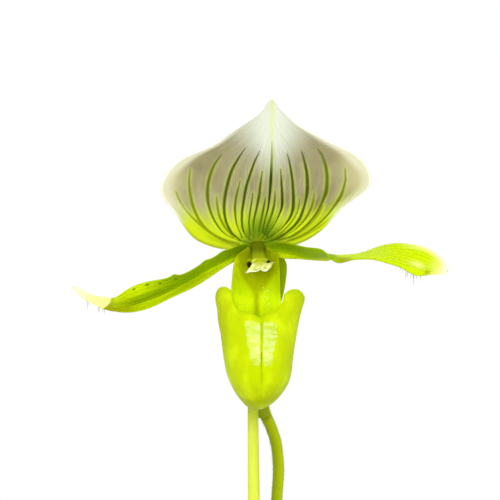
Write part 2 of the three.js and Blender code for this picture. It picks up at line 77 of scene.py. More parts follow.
# Sections from the flower's centre to the tip: mid line, then the two margins.
DORSAL = dict(
    mid=[(-0.1, 0.9, 1.3), (0.1, 0.9, 2.4), (0.9, 0.6, 4.6), (2, 0, 8.4), (3.2, -0.5, 13),
         (3.8, -1, 19), (4, -1.2, 24.6), (4, -1.2, 29.5), (3.9, -1, 34.2), (3.9, -0.6, 38.5),
         (3.8, -1, 42.2)],
    a=[(-1.7, 0.8, 1), (-5.2, 2.5, -0.6), (-9.9, 4, -0.9), (-18.3, 5.5, 2.1), (-23.7, 5.5, 8.9),
       (-28.4, 4.5, 16.2), (-24.4, 3, 23.7), (-13.4, 2, 29.2), (-4.4, 1, 34.9), (1.3, 0, 39),
       (3.3, -1, 42.3)],
    b=[(1.5, 0.8, 1), (5.8, 2.5, 0.2), (11.1, 3.5, 0.5), (18, 5, 4.2), (24.3, 5.5, 10.8),
       (32.7, 4.5, 18.2), (30.5, 3, 24.7), (19.8, 2, 30.7), (11.4, 1, 35.3), (6.7, 0, 39.1),
       (4.3, -1, 42.3)],
)
SYNSEPAL = dict(
    mid=[(0, 1.3, -2.3), (0.2, 3.6, -7), (0.4, 4.6, -14), (0.6, 4.2, -21), (0.8, 3, -27.5)],
    a=[(-2, 1.5, -2.5), (-6.8, 2.4, -5.4), (-7, 3.2, -12), (-5.4, 3.2, -20.5), (0.2, 3, -28)],
    b=[(2.2, 1.5, -2.2), (7.8, 2.2, -4), (8, 3.2, -11), (5.4, 3.2, -20), (1.4, 3, -28)],
)
PETAL_LEFT = dict(
    mid=[(-0.6, 1, -0.3), (-3.2, 0.7, -1.2), (-7.2, -1, -3.2), (-13.9, -2, -6.5), (-20.3, -2.5, -10.1),
         (-26.2, -3.5, -13), (-32, -4.5, -15.3), (-37.1, -5.5, -16.7), (-40.8, -7, -17),
         (-43.4, -7, -16.5), (-45.8, -7.7, -15.7), (-48.7, -9.2, -14.5), (-52.6, -11, -11.6)],
    a=[(-0.6, 0.9, 0.2), (-3.2, 0, 0.5), (-7.8, -3.5, -0.7), (-14.7, -6, -4.45), (-20.3, -8, -7.6),
       (-26.6, -9, -9.2), (-32.9, -9.5, -10.7), (-37.7, -10.5, -12.7), (-41.2, -11.5, -14.5),
       (-43.4, -9.5, -15), (-45.7, -9, -14.4), (-48.7, -10, -13.3), (-52.6, -11.2, -11.3)],
    b=[(-0.6, 1, -1), (-3.2, 0.3, -2.8), (-8.1, -3, -5.2), (-14.7, -5, -9.35), (-20.2, -6, -12.6),
       (-25.8, -6.5, -15.4), (-31.6, -7, -17.7), (-37.6, -6.5, -19), (-41.6, -5.2, -19),
       (-43.7, -5.6, -17.9), (-46, -6.6, -17.3), (-48.9, -8, -15.8), (-52.8, -10.9, -12)],
)
PETAL_RIGHT = dict(
    mid=[(0.6, 1, -0.3), (3.2, 0.6, -1), (7.8, -1.5, -1.6), (13.8, -3, -2.6), (18.4, -4, -2.8),
         (21, -4.6, -2.75), (24, -5.1, -3.1), (28.2, -6, -3), (34.1, -7, -2.3), (40.6, -8.5, -2.9),
         (46, -10, -4.1), (50.6, -11.5, -5.9), (53.5, -13, -7.3)],
    a=[(0.6, 1, 0.4), (3.2, 0, 0.9), (8, -4.5, 0.9), (14, -7.5, -0.2), (18.2, -9, -1.6),
       (20.6, -10, -3.4), (23.5, -10.8, -4.6), (27.6, -11.6, -4.1), (33.8, -12.5, -3.9),
       (39.6, -13, -5.7), (44.5, -13.5, -8.9), (49.3, -13.3, -7.9), (53.3, -13.2, -8)],
    b=[(0.6, 1, -1), (3.2, 0.2, -2.6), (7.5, -3, -3.6), (13.6, -1.5, -4), (18.9, 0.5, -3.85),
       (21.4, 0.4, -4.05), (24.3, 0.3, -3.2), (28.8, -0.5, -2.1), (34.7, -1.7, -0.55), (41.8, -4, 0.5),
       (47.8, -6.5, -0.2), (51.7, -9.5, -2.9), (54, -12.6, -6.6)],
)
# Pouch by height: z, half width, front y, back y, middle x.
POUCH = np.array([
    (-45.5, 0.9, -19.1, -17.9, -0.3), (-44.6, 2.6, -22.3, -15.6, -0.25), (-43.2, 4.2, -25.3, -13.8, 0),
    (-40.7, 6.2, -28.2, -12, 0.2), (-38.2, 7.6, -29.8, -10.9, 0.3), (-35.5, 8.5, -30.5, -10, 0.18),
    (-32.4, 9, -30.7, -9.3, 0.05), (-27.9, 9.7, -30.1, -8.6, 0.05), (-24.8, 10.2, -29.1, -8.2, 0.12),
    (-20.9, 11, -27.4, -7.9, 0.1), (-18, 11.6, -26, -7.4, 0.35), (-14.7, 12.4, -24.6, -6.6, 0.55),
    (-11.5, 12.2, -23.4, -6, 0.6),
])
# Height of the pouch's rim by angle from the front.
RIM_LEFT = np.array([
    (0, -19.9), (5, -19.4), (10, -18.9), (20, -18.3), (31, -17.7), (36, -16.2), (40, -13.6), (45, -12.4),
    (50, -11.8), (58, -11.5), (67, -11.8), (74, -12.3), (80, -13), (90, -14.4), (104, -17), (116, -18.6),
    (128, -19.2), (180, -19.6),
])
RIM_RIGHT = np.array([
    (0, -19.9), (5, -19.4), (10, -18.9), (20, -18.3), (25, -17.9), (29, -16.2), (32, -14.1), (37, -13),
    (44, -12.4), (53, -12.2), (60, -12.4), (66, -12.9), (73, -13.6), (80, -14.3), (90, -15.4),
    (104, -17.4), (116, -18.7), (128, -19.2), (180, -19.6),
])
CLAW = dict(
    mid=[(0, -0.9, -4), (0, -1.5, -5.2), (0, -2.4, -7), (0, -3.9, -10), (0, -5.9, -14), (0, -7.4, -18),
         (0, -7.9, -23)],
    a=[(-3.4, -1.5, -0.6), (-6.1, -3.4, -2.7), (-7, -5.2, -5.4), (-7.45, -6.9, -9.5), (-7.7, -8.7, -14),
         (-7.2, -9.9, -18), (-6.6, -9.8, -23)],
    b=[(3.4, -1.5, -0.6), (5.6, -3.4, -2.5), (6, -5.2, -5.5), (6.2, -6.9, -9.5), (6.3, -8.7, -14),
         (6.6, -9.9, -18), (6.6, -9.8, -23)],
)
# Scape and ovary, from the flower down to the bark: x, y, z, radius.
SCAPE = [
    (0, 2.4, 0.2, 2.3), (0, 4.1, -0.8, 2.45), (0, 7.6, -5, OVARY_R), (0, 10.6, -12, OVARY_R),
    (0, 12.6, -22, OVARY_R), (0, 13.7, -33, 2.2), (0.7, 14.4, -42, 1.9), (1.9, 14.4, -49, 1.75),
    (4, 14.3, -54, STEM_R), (5.4, 14.2, -58.5, STEM_R), (6.05, 14.2, -64, STEM_R),
    (6.1, 14.2, -68, STEM_R), (5.7, 14.2, -74, STEM_R), (4.8, 14.3, -90, 1.75), (4, 14.6, -130, 1.9),
    (3.3, 14.3, -190, 2.05), (3, 14, -240, 2.2), (3, 14, WELL_FLOOR + GAP - 350.0, 2.3),
]

# Veins of the dorsal sepal: width, how yellow, and x, z from tip to base.
VEINS = [
    (0.95, 0, [(4, 30.1), (4, 27.2), (3.9, 23), (3.7, 19.3), (3.4, 15.1), (2.9, 10.9), (2.1, 7.6),
        (1.4, 3.8)]),
    (0.85, 0.1, [(0.6, 27.4), (-0.9, 24.3), (-2.3, 20.5), (-3.5, 16.8), (-4.2, 13), (-4.6, 9.3),
        (-4.4, 5.9), (-3.5, 2.4)]),
    (0.95, 0.2, [(-3.5, 28.3), (-5.7, 25.1), (-7.5, 21.8), (-8.8, 17.6), (-9.7, 13.4), (-9.8, 10.5),
        (-9.2, 7.2), (-7.7, 4.3), (-4.8, 1.6)]),
    (0.85, 0.45, [(-10.5, 26.2), (-12.3, 23.9), (-13.8, 20.5), (-14.5, 16.8), (-14.4, 13),
        (-13.6, 9.7), (-11.9, 6.3), (-9.4, 3.4), (-5.2, 1.3)]),
    (0.62, 0.75, [(-19.6, 22.2), (-20, 18.9), (-19.7, 15.5), (-18.8, 11.8), (-16.9, 7.6), (-14, 4.3),
        (-9.8, 2), (-5.4, 0.7)]),
    (0.45, 1, [(-23.8, 15.9), (-22.6, 13), (-20.3, 9.7), (-17.3, 6.8), (-14, 4.1), (-9.8, 1.6),
        (-5.2, 0.4)]),
    (0.5, 0.75, [(-12, 14.3), (-11.7, 11.8), (-10.9, 8.4), (-9.4, 5.5), (-6.9, 2.6)]),
    (0.6, 0.3, [(-5.2, 18.9), (-6, 15.5), (-6.5, 11.8), (-6.4, 8.4), (-5.9, 5.5), (-4.6, 2.4)]),
    (0.6, 0.2, [(-1.4, 15.5), (-1.8, 12.6), (-2.4, 9.3), (-2.7, 6.3), (-2.3, 3)]),
    (0.7, 0.2, [(1.2, 21.6), (0.7, 18), (0.3, 14.3), (-0.4, 10.5), (-1.1, 7.2), (-1.5, 3.8)]),
    (0.6, 0.3, [(2.1, 14.3), (1.6, 11.4), (0.9, 8), (0.1, 4.3)]),
    (0.6, 0.3, [(5, 15.9), (4.9, 13), (4.3, 10.1), (3.1, 6.8), (1.6, 3.4)]),
    (0.8, 0.1, [(6.6, 22.2), (6.8, 18.4), (6.9, 14.3), (6.8, 11.4), (6, 8.9), (4.6, 5.9), (2.5, 2.8)]),
    (0.9, 0.15, [(8.3, 26.6), (9, 24.3), (9.7, 20.5), (10.1, 16.8), (10.3, 13.4), (9.9, 10.5),
        (8.7, 7.6), (6.4, 4.7), (3.3, 2.3)]),
    (0.45, 0.6, [(11.9, 13.9), (11.5, 10.5), (10.2, 7.6), (7.7, 4.7), (4.6, 2.1)]),
    (0.95, 0.2, [(12.5, 27.2), (13.3, 24.7), (14, 21.4), (14.2, 17.6), (13.9, 13.9), (13.1, 10.5),
        (11.7, 7.6), (8.9, 4.7), (5, 2)]),
    (0.55, 0.7, [(16.4, 15.9), (16, 13.4), (14.8, 10.1), (12.7, 6.8), (9.8, 4.1), (6, 1.8)]),
    (0.9, 0.45, [(17.2, 28), (18.5, 26), (19.6, 23), (20, 19.7), (19.6, 15.9), (18.3, 12.2),
        (16.5, 8.9), (13.5, 5.5), (9.4, 2.7), (5.8, 1.6)]),
    (0.45, 1, [(19, 11.8), (17.3, 9.1), (14.4, 5.9), (10.6, 3)]),
    (0.65, 0.7, [(25.3, 22.4), (25.4, 19.3), (24.5, 15.9), (22.7, 12.6), (20.5, 9.5), (17.3, 6.3),
        (13.1, 3.4), (8.5, 1.6)]),
    (0.4, 1, [(27.9, 15.3), (25.6, 12.4), (22.5, 9.3), (18.3, 5.9), (14, 3.2), (9.8, 1.6)]),
]
# Lower outline of the dorsal sepal, x and z, left to right.
DORSAL_FOOT = np.array([
    (-28.3, 17.7), (-28.0, 15.1), (-26.4, 12.4), (-23.3, 8.8), (-20.7, 5.3), (-18.0, 2.4), (-14.4, 0.4),
    (-11.3, -0.4), (-7.8, -0.5), (-0.3, 1.7), (10.8, 0.9), (13.9, 2.2), (17.5, 4.4), (21.1, 7.5),
    (24.2, 10.6), (27.3, 13.7), (29.9, 15.1), (32.2, 16.8), (32.9, 19.5),
])


# Number helpers.
def mix(a, b, t):
    return a + (b - a) * t


def smooth(t):
    c = np.clip(t, 0, 1)
    return c * c * (3 - 2 * c)


def ramp(value, zero, one):
    """Goes smoothly from 0 to 1 as a value passes from the first place to the second."""
    return smooth((value - zero) / (one - zero))


def stripe(value, middle, width):
    """A soft stripe, 1 in its middle."""
    return np.exp(-((value - middle) / width)**2)


def unit(v):
    return v / np.maximum(np.linalg.norm(v, axis=-1, keepdims=True), 1e-9)


def circle(sides):
    """Even angles round a circle."""
    return 2 * np.pi * np.arange(sides) / sides


def grid(rows, columns):
    """Places along a sheet, 0 to 1, and across it, -1 to 1."""
    return np.meshgrid(np.linspace(0, 1, rows + 1), np.linspace(-1, 1, columns + 1), indexing="ij")


def spline(points, u):
    """Centripetal Catmull-Rom curve through the points, u from 0 to 1 in even steps of points."""
    p = np.asarray(points, float)
    p = np.vstack([2 * p[0] - p[1], p, 2 * p[-1] - p[-2]])
    knot = np.clip(np.asarray(u, float), 0, 1) * (len(p) - 3)
    i = np.minimum(knot.astype(int), len(p) - 4)
    w = (knot - i)[:, None]
    q0, q1, q2, q3 = p[i], p[i + 1], p[i + 2], p[i + 3]
    d0, d1, d2 = (np.sqrt(np.linalg.norm(b - a, axis=1))[:, None] for a, b in ((q0, q1), (q1, q2), (q2, q3)))
    t1 = ((q1 - q0) / d0 - (q2 - q0) / (d0 + d1) + (q2 - q1) / d1) * d1
    t2 = ((q2 - q1) / d1 - (q3 - q1) / (d1 + d2) + (q3 - q2) / d2) * d1
    return q1 + t1 * w + (-3 * q1 + 3 * q2 - 2 * t1 - t2) * w**2 + (2 * q1 - 2 * q2 + t1 + t2) * w**3


def table(rows, key, column=1):
    """Smooth curve through a table's column, looked up by its first column."""
    x, y = rows[:, 0], rows[:, column]
    slope = np.gradient(y, x)
    key = np.clip(key, x[0], x[-1])
    i = np.clip(np.searchsorted(x, key) - 1, 0, len(x) - 2)
    h = x[i + 1] - x[i]
    t = (key - x[i]) / h
    a = y[i] * (1 + 2 * t) * (1 - t)**2 + h * slope[i] * t * (1 - t)**2
    return a + y[i + 1] * t * t * (3 - 2 * t) + h * slope[i + 1] * t * t * (t - 1)


# Surface helpers. A shape is a pair: its points and its faces.
def quads(rows, columns, close_rows=True, close_columns=False, flip=False):
    """Faces of a grid of points, whose rows or columns may run round and close."""
    steps = np.arange(rows if close_columns else rows - 1), np.arange(columns if close_rows else columns - 1)
    i, j = np.meshgrid(*steps, indexing="ij")
    here, below, after = i * columns, (i + 1) % rows * columns, (j + 1) % columns
    corners = [here + j, here + after, below + after, below + j]
    if flip:
        corners = [corners[k] for k in (0, 3, 2, 1)]
    return np.stack(corners, axis=-1).reshape(-1, 4)


def strip(lines, rows, columns, relief):
    """A sheet through three lines, raised along its normals by relief(u, t), with its u and t."""
    u, t = grid(rows, columns)
    mid, a, b = (spline(lines[k], u[:, 0]) for k in ("mid", "a", "b"))
    span, bow = (b - a) / 2, (a + b) / 2 - mid
    points = mid[:, None] + span[:, None] * t[..., None] + bow[:, None] * (t**2)[..., None]
    normal = unit(np.cross(np.gradient(mid, axis=0), span))
    return points + normal[:, None] * relief(u, t)[..., None], u, t


def blade(points, thick, closed=False):
    """A sheet thickened to both sides along its normals. A closed one runs round in its columns."""
    m, n = points.shape[:2]
    if closed:
        across = np.roll(points, -1, axis=1) - np.roll(points, 1, axis=1)
    else:
        across = np.gradient(points, axis=1)
    normal = unit(np.cross(np.gradient(points, axis=0), across))
    offset = normal * (np.broadcast_to(thick, (m, n)) / 2)[..., None]
    both = np.concatenate([points + offset, points - offset]).reshape(-1, 3)
    front = quads(m, n, close_rows=closed, flip=True)
    index = np.arange(m * n).reshape(m, n)
    if closed:
        borders = [index[0], index[-1, ::-1]]
    else:
        borders = [np.concatenate([index[0, :-1], index[:-1, -1], index[-1, :0:-1], index[:0:-1, 0]])]
    walls = [np.stack([b, np.roll(b, -1), np.roll(b, -1) + m * n, b + m * n], axis=1) for b in borders]
    return both, np.concatenate([front, front[:, ::-1] + m * n, *walls]).tolist()


def thinned(points, t, middle, margin, power=6):
    """A blade that thins out towards its margins."""
    return blade(points, mix(middle, margin, np.abs(t)**power))


def tube(path, radius, sides):
    """A round body along a path, with flat ends."""
    along = unit(np.gradient(path, axis=0))
    side = np.empty_like(path)
    last = np.array([1.0, 0.0, 0.0])
    for k, ahead in enumerate(along):
        last = unit(last - ahead * np.dot(last, ahead))
        side[k] = last
    up = np.cross(along, side)
    w = circle(sides)[:, None]
    ring = side[:, None] * np.cos(w) + up[:, None] * np.sin(w)
    points = path[:, None] + ring * radius[:, None, None]
    first, end = list(range(sides)), (len(path) - 1) * sides
    faces = quads(len(path), sides).tolist() + [first[::-1], [end + k for k in first]]
    return points.reshape(-1, 3), faces


def ball(centre, size, rings=24, sides=32):
    """An ellipsoid."""
    v = np.pi * np.arange(1, rings)[:, None] / rings
    w = circle(sides)
    rows = np.stack([np.sin(v) * np.cos(w), np.sin(v) * np.sin(w), np.cos(v) + 0 * w], axis=-1)
    points = np.vstack([rows.reshape(-1, 3), [(0, 0, 1), (0, 0, -1)]]) * size + centre
    faces = quads(rings - 1, sides, flip=True).tolist()
    top, low, foot = len(points) - 2, len(points) - 1, (rings - 2) * sides
    for j in range(sides):
        k = (j + 1) % sides
        faces += [[top, j, k], [low, foot + k, foot + j]]
    return points, faces


def lathe(profile, sides):
    """A closed ring body from a closed profile of r, z points."""
    r, z = np.asarray(profile, float).T[..., None]
    w = circle(sides)
    points = np.stack([r * np.cos(w), r * np.sin(w), z + 0 * w], axis=-1)
    return points.reshape(-1, 3), quads(len(profile), sides, close_columns=True).tolist()


def join(*parts):
    """One shape from several."""
    starts = np.cumsum([0] + [len(points) for points, _ in parts]).tolist()
    faces = [[k + start for k in face] for start, (_, polygons) in zip(starts, parts) for face in polygons]
    return np.concatenate([points for points, _ in parts]), faces


def hairs(roots, directions, lengths, radius, droop):
    """Closed three-sided hairs, thinned to a point, one for each root."""
    directions = unit(np.asarray(directions, float))
    helper = np.where(np.abs(directions[:, 2:]) < 0.9, [[0.0, 0.0, 1.0]], [[1.0, 0.0, 0.0]])
    side = unit(np.cross(directions, helper))
    up = np.cross(directions, side)
    reach = directions * np.asarray(lengths)[:, None]
    sag = np.outer(lengths, [0, 0, droop])

    def ring(centre, r):
        return [centre + (side * math.cos(w) + up * math.sin(w)) * r for w in circle(3)]

    foot, middle = roots - directions * 0.15, roots + reach * 0.55 - sag * 0.3
    points = np.stack([*ring(foot, radius), *ring(middle, radius * 0.6), roots + reach - sag], axis=1)
    one = [(2, 1, 0)]
    for k, j in ((0, 1), (1, 2), (2, 0)):
        one += [(k, j, j + 3), (k, j + 3, k + 3), (k + 3, j + 3, 6)]
    starts = 7 * np.arange(len(points))[:, None]
    return points.reshape(-1, 3), np.concatenate([starts + np.array([face]) for face in one]).tolist()


def linked(name, data):
    obj = bpy.data.objects.new(name, data)
    bpy.context.collection.objects.link(obj)
    return obj


def piece(name, shape, look, node, place=FLOWER, masks=None, uv=None):
    """A smooth mesh object in the frame. The two sides of a blade share its masks and its uv."""
    points, faces = shape
    mesh = bpy.data.meshes.new(name)
    mesh.from_pydata(((points + place) * MM).tolist(), [], faces)
    mesh.polygons.foreach_set("use_smooth", [True] * len(mesh.polygons))
    for key, values in (masks or {}).items():
        layer = mesh.attributes.new(key, "FLOAT", "POINT")
        layer.data.foreach_set("value", np.resize(values, len(points)).astype(np.float32))
    if uv is not None:
        corner = np.empty(len(mesh.loops), np.int32)
        mesh.loops.foreach_get("vertex_index", corner)
        layer = mesh.uv_layers.new(name="UVMap")
        layer.data.foreach_set("uv", np.resize(uv, (len(points), 2)).astype(np.float32)[corner].ravel())
    mesh.validate()
    mesh.materials.append(look)
    obj = linked(name, mesh)
    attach(obj, "root")
    if node:
        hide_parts(node)
    return obj


# Looks.
def rgb(code):
    """Linear colour from a hex code."""
    parts = [int(code[k:k + 2], 16) / 255 for k in (0, 2, 4)]
    return [c / 12.92 if c <= 0.04045 else ((c + 0.055) / 1.055)**2.4 for c in parts] + [1.0]


class Look:
    """A material whose colour is built up in layers of masks and noises on its way to the shader."""

    def __init__(self, name, base, roughness=0.5, specular=0.5, **sockets):
        self.mat = bpy.data.materials.new(name)
        self.mat.use_nodes = True
        self.tree = self.mat.node_tree
        self.shader = self.tree.nodes["Principled BSDF"]
        sockets.update(Roughness=roughness, Specular_IOR_Level=specular)
        for key, value in sockets.items():
            self.shader.inputs[key.replace("_", " ")].default_value = value
        self.color = rgb(base)
        self.normal = None

    def node(self, kind, **settings):
        n = self.tree.nodes.new("ShaderNode" + kind)
        for key, value in settings.items():
            if key in n.inputs:
                self.plug(value, n.inputs[key])
            else:
                setattr(n, key, value)
        return n

    def plug(self, value, socket):
        """Feed a socket from another one, the name of a mask, a number or a colour."""
        if isinstance(value, str):
            value = self.node("Attribute", attribute_name=value).outputs["Fac"]
        if isinstance(value, bpy.types.NodeSocket):
            self.tree.links.new(value, socket)
        else:
            socket.default_value = value

    def place(self, kind="Object", scale=(1, 1, 1)):
        at = self.node("TexCoord").outputs[kind]
        return self.node("Mapping", Vector=at, Scale=scale).outputs["Vector"]

    def noise(self, scale, detail=3.0, kind="Object", stretch=(1, 1, 1), rough=0.55, twist=0.0):
        return self.node("TexNoise", Vector=self.place(kind, stretch), Scale=scale, Detail=detail,
                         Roughness=rough, Distortion=twist).outputs["Fac"]

    def cells(self, scale, feature="F1"):
        return self.node("TexVoronoi", feature=feature, Vector=self.place(), Scale=scale).outputs["Distance"]

    def tiles(self, grain, scale):
        """Noise that is even within each cell of a fine net, so that its patches have stepped edges."""
        net = self.node("TexVoronoi", feature="F1", Vector=self.place("UV", grain), Scale=1.0)
        return self.node("TexNoise", Vector=net.outputs["Position"], Scale=scale, Detail=2.0,
                         Roughness=0.5).outputs["Fac"]

    def steps(self, value, low, high, to=(0.0, 1.0)):
        n = self.node("MapRange", interpolation_type="SMOOTHSTEP", Value=value)
        for key, v in zip(("From Min", "From Max", "To Min", "To Max"), (low, high, *to)):
            n.inputs[key].default_value = v
        return n.outputs["Result"]

    def math(self, operation, a, b):
        n = self.node("Math", operation=operation)
        self.plug(a, n.inputs[0])
        self.plug(b, n.inputs[1])
        return n.outputs[0]

    def times(self, a, b):
        return self.math("MULTIPLY", a, b)

    def over(self, code, factor):
        """Lay a colour over what is there."""
        n = self.node("Mix", data_type="RGBA")
        for k, value in ((0, factor), (6, self.color), (7, rgb(code))):
            self.plug(value, n.inputs[k])
        self.color = n.outputs[2]

    def paint(self, **layers):
        """Lay a colour over the part that each mask names, in order. A pair holds a strength as well."""
        for mask, layer in layers.items():
            if isinstance(layer, str):
                self.over(layer, mask)
            else:
                self.over(layer[0], self.times(mask, layer[1]))

    def patches(self, code, strength, edges, scale, detail=3.0, **options):
        """Lay a colour over soft patches of noise."""
        self.over(code, self.times(self.steps(self.noise(scale, detail, **options), *edges), strength))

    def bump(self, height, strength, depth):
        """Relief, its depth in mm."""
        n = self.node("Bump", Height=height, Strength=strength, Distance=depth * MM)
        if self.normal is not None:
            self.plug(self.normal, n.inputs["Normal"])
        self.normal = n.outputs["Normal"]

    def done(self):
        self.plug(self.color, self.shader.inputs["Base Color"])
        if self.normal is not None:
            self.plug(self.normal, self.shader.inputs["Normal"])
            self.plug(self.normal, self.shader.inputs["Coat Normal"])
        return self.mat


# Facing gloss of green tissue, which keeps its own colour.
LEAF_GLOSS = (0.8, 0.9, 0.12, 1)


def sepal_look():
    # The sepal itself is white: its grey-beige ground and the beige of its shoulders are painted shade; the
    # patches vary that tone at random.
    k = Look("dorsal_sepal", "8d8760", roughness=0.6, specular=0.08)
    k.patches("766f4c", 0.6, (0.45, 0.7), 170, 5)
    k.patches("b5b088", 0.5, (0.5, 0.7), 90, 4, stretch=(1, 1, 0.6))
    k.paint(shoulder="bdb889")
    satin = k.steps(k.noise(5, 5, "UV", (1, 30, 1)), 0.42, 0.7)
    k.paint(satin=("bcbaa2", satin))
    streaks = k.steps(k.noise(4, 4, "UV", (1, 22, 1)), 0.3, 0.62, (0.6, 1.0))
    k.paint(white=("d3dac9", streaks), green="bac92a", lime="c6d60c", halo=("c6dc08", 0.85),
            heart=("587b00", 0.9), collar="8c9606", vein="2a3600")
    k.over("a0a608", k.times("vein", "yellow"))
    k.over("3e6400", k.times("vein", "deep"))
    # Towards its margins the sepal whitens: painted light glowing through the thin tissue. The olive line
    # along the lower margin near the base is painted shade.
    k.paint(midline=("c6d23c", 0.5), fade="d8d6ba", edge="eeedd8", rim="929a14")
    k.bump(k.noise(1600, 4), 0.35, 0.05)
    return k.done()


def petal_look():
    k = Look("petal", "90b004", roughness=0.55, specular=0.08, Specular_Tint=LEAF_GLOSS)
    # Painted light: the lighter half of a petal that faces up and the bright line along its ridge; the right
    # petal's bright far end is partly its upper face's own colour and partly painted light.
    # Painted shade: the dark green at the petals' bases, the dark bands and spots, the synsepal's overall
    # darkening, and the dark lines along the folds.
    k.paint(shade=("5f7d00", 0.85), low="bccf08", high="d2ea04", ridge="d8ea16", brown="a2a802",
            dark="748700", far="c3dd02", line=("8faa00", 0.42), pale="fafb9c", tip="fdfdc8", fold="94a00a")
    k.patches("6d8a00", 0.06, (0.5, 0.8), 220)
    k.bump(k.noise(400, 1), 0.15, 0.05)
    return k.done()


def plain_look(name, codes, scale, roughness, specular=0.3, stretch=(1, 1, 1), relief=0.05, shaded=None):
    """Grown tissue: a base colour with softer patches of two more, and a darker zone if asked for."""
    k = Look(name, codes[0], roughness=roughness, specular=specular)
    k.patches(codes[1], 0.7, (0.4, 0.7), scale, 4, stretch=stretch)
    k.patches(codes[2], 0.5, (0.5, 0.8), scale * 3.1, 4, stretch=stretch)
    if shaded:
        k.paint(shaded=shaded)
    k.bump(k.noise(scale * 5, 4, stretch=stretch), 0.5, relief)
    return k.done()


def pouch_look():
    k = Look("pouch", "c4e002", roughness=0.5, specular=0.08, Specular_Tint=LEAF_GLOSS, Coat_Roughness=0.1,
             Coat_IOR=2.1)
    wrinkles = k.steps(k.noise(900, 3, stretch=(0.4, 0.4, 1.9)), 0.4, 0.54, (0.3, 1))
    patchy = k.steps(k.noise(260, 3), 0.35, 0.6, (0.55, 1))
    frayed = k.times(k.math("SUBTRACT", k.noise(420, 4), 0.5), 1.4)
    gloss = k.steps(k.math("ADD", "gloss", frayed), 0.25, 0.8)
    k.plug(k.times(k.times(gloss, patchy), wrinkles), k.shader.inputs["Coat Weight"])
    fibres = k.steps(k.noise(420, 3, stretch=(1, 1, 0.14)), 0.5, 0.72, (0, 0.45))
    # Painted light: the brighter lower claw.
    # Painted shade: the darker sides and foot of the pouch, the claw's upper part, margins, top and top
    # corners beside the column, and the line in the pouch's groove.
    k.paint(side="a4b804", fresh="e2fc0a", shade="9da400", seam="98ab00", throat="98a300", corner="7c8a02",
            claw=("93a200", fibres))
    k.patches("e2f816", 0.35, (0.45, 0.7), 230, 4, stretch=(1, 1, 0.5))
    k.over("b8d000", k.times(k.steps(k.cells(900, "DISTANCE_TO_EDGE"), 0.1, 0.0), 0.2))
    # The darker line along the rim is painted shade; the pale dots on the claw are painted highlights.
    k.paint(rim="a9bf00", beads=("eaf860", k.steps(k.cells(1100), 0.42, 0.12)))
    k.bump(k.noise(600, 3, stretch=(0.4, 0.4, 2.2)), 0.9, 0.09)
    k.bump(k.noise(2200, 3), 0.5, 0.03)
    return k.done()


def column_look():
    k = Look("column", "8a9903", roughness=0.5, specular=0.1, Specular_Tint=LEAF_GLOSS)
    # The olive at the column's top is partly its own colour and partly painted shade under the petals and
    # sepal.
    k.paint(olive="646f04", yellow="d9dd47", cream="e6ee9c")
    mottling = k.steps(k.noise(900, 4), 0.46, 0.62, (0, 0.85))
    k.over("b9c22c", k.times("cream", mottling))
    # The near-black is painted shadow, laid on the balls in the gaps beside the staminode.
    k.paint(eye="aab516", lip="fbfee0", dark="241c04")
    k.bump(k.noise(1800, 4), 0.5, 0.06)
    return k.done()


def stem_look():
    k = Look("stem", "869604", roughness=0.5, specular=0.2, Specular_Tint=LEAF_GLOSS)
    # The stem's +x side painted lighter: painted light from that side.
    k.paint(sunny="aab90a")
    k.patches("a0b010", 0.4, (0.4, 0.7), 160, stretch=(1, 1, 0.5))
    k.patches("7c8c04", 0.5, (0.5, 0.75), 420, 4)
    k.paint(ovary=("7f9c10", 0.6))
    k.bump(k.noise(1500, 4), 0.5, 0.08)
    return k.done()


def leaf_look():
    k = Look("leaf", "8ba56f", roughness=0.4, specular=0.45)
    k.patches("a4b98a", 0.5, (0.4, 0.7), 1.1, kind="UV")
    patch = k.tiles((1.9, 4.2, 1), 0.85)
    k.over("3d6a2e", k.steps(patch, 0.47, 0.52))
    k.over("264f1f", k.times(k.steps(patch, 0.57, 0.62), 0.7))
    k.patches("557f40", 0.35, (0.5, 0.7), 3.2, 5, kind="UV", stretch=(0.5, 3, 1))
    k.paint(rib=("345f26", 0.6), under=("7f9c62", 0.9), foot=("b4c294", 0.75))
    k.bump(k.noise(500, 4), 0.3, 0.06)
    k.bump(k.noise(3.5, 2, "UV", (0.1, 4, 1)), 0.4, 0.15)
    return k.done()


def clay_look():
    k = Look("clay", "b5643f", roughness=0.88, specular=0.25)
    k.patches("c98560", 0.6, (0.42, 0.7), 28, 5)
    k.patches("8f4a2e", 0.5, (0.5, 0.8), 75, 4, stretch=(1, 1, 3))
    k.patches("e2cdbb", 0.5, (0.57, 0.74), 17, 6, rough=0.65, twist=0.6)
    # Darker towards the foot of the pot.
    k.paint(wet=("6b3a26", 0.45))
    k.bump(k.noise(900, 5), 0.5, 0.12)
    k.bump(k.noise(16, 2, stretch=(0.3, 0.3, 22)), 0.3, 0.5)
    return k.done()


def bark_look():
    k = Look("bark", "5a3823", roughness=0.9, specular=0.2)
    k.paint(pale="9a6a44")
    k.patches("2c1a10", 0.75, (0.45, 0.7), 260, 5, stretch=(1, 1, 3))
    k.patches("b08a62", 0.35, (0.6, 0.8), 520, 4)
    k.bump(k.noise(420, 6, stretch=(1, 1, 3), rough=0.65), 0.8, 0.6)
    return k.done()


# Camera, floor and light.
CAMERA = dict(from_flower=(-2.32, -600, -1.16), lens=149, sensor=36)
WHITE = (1, 1, 1, 1)
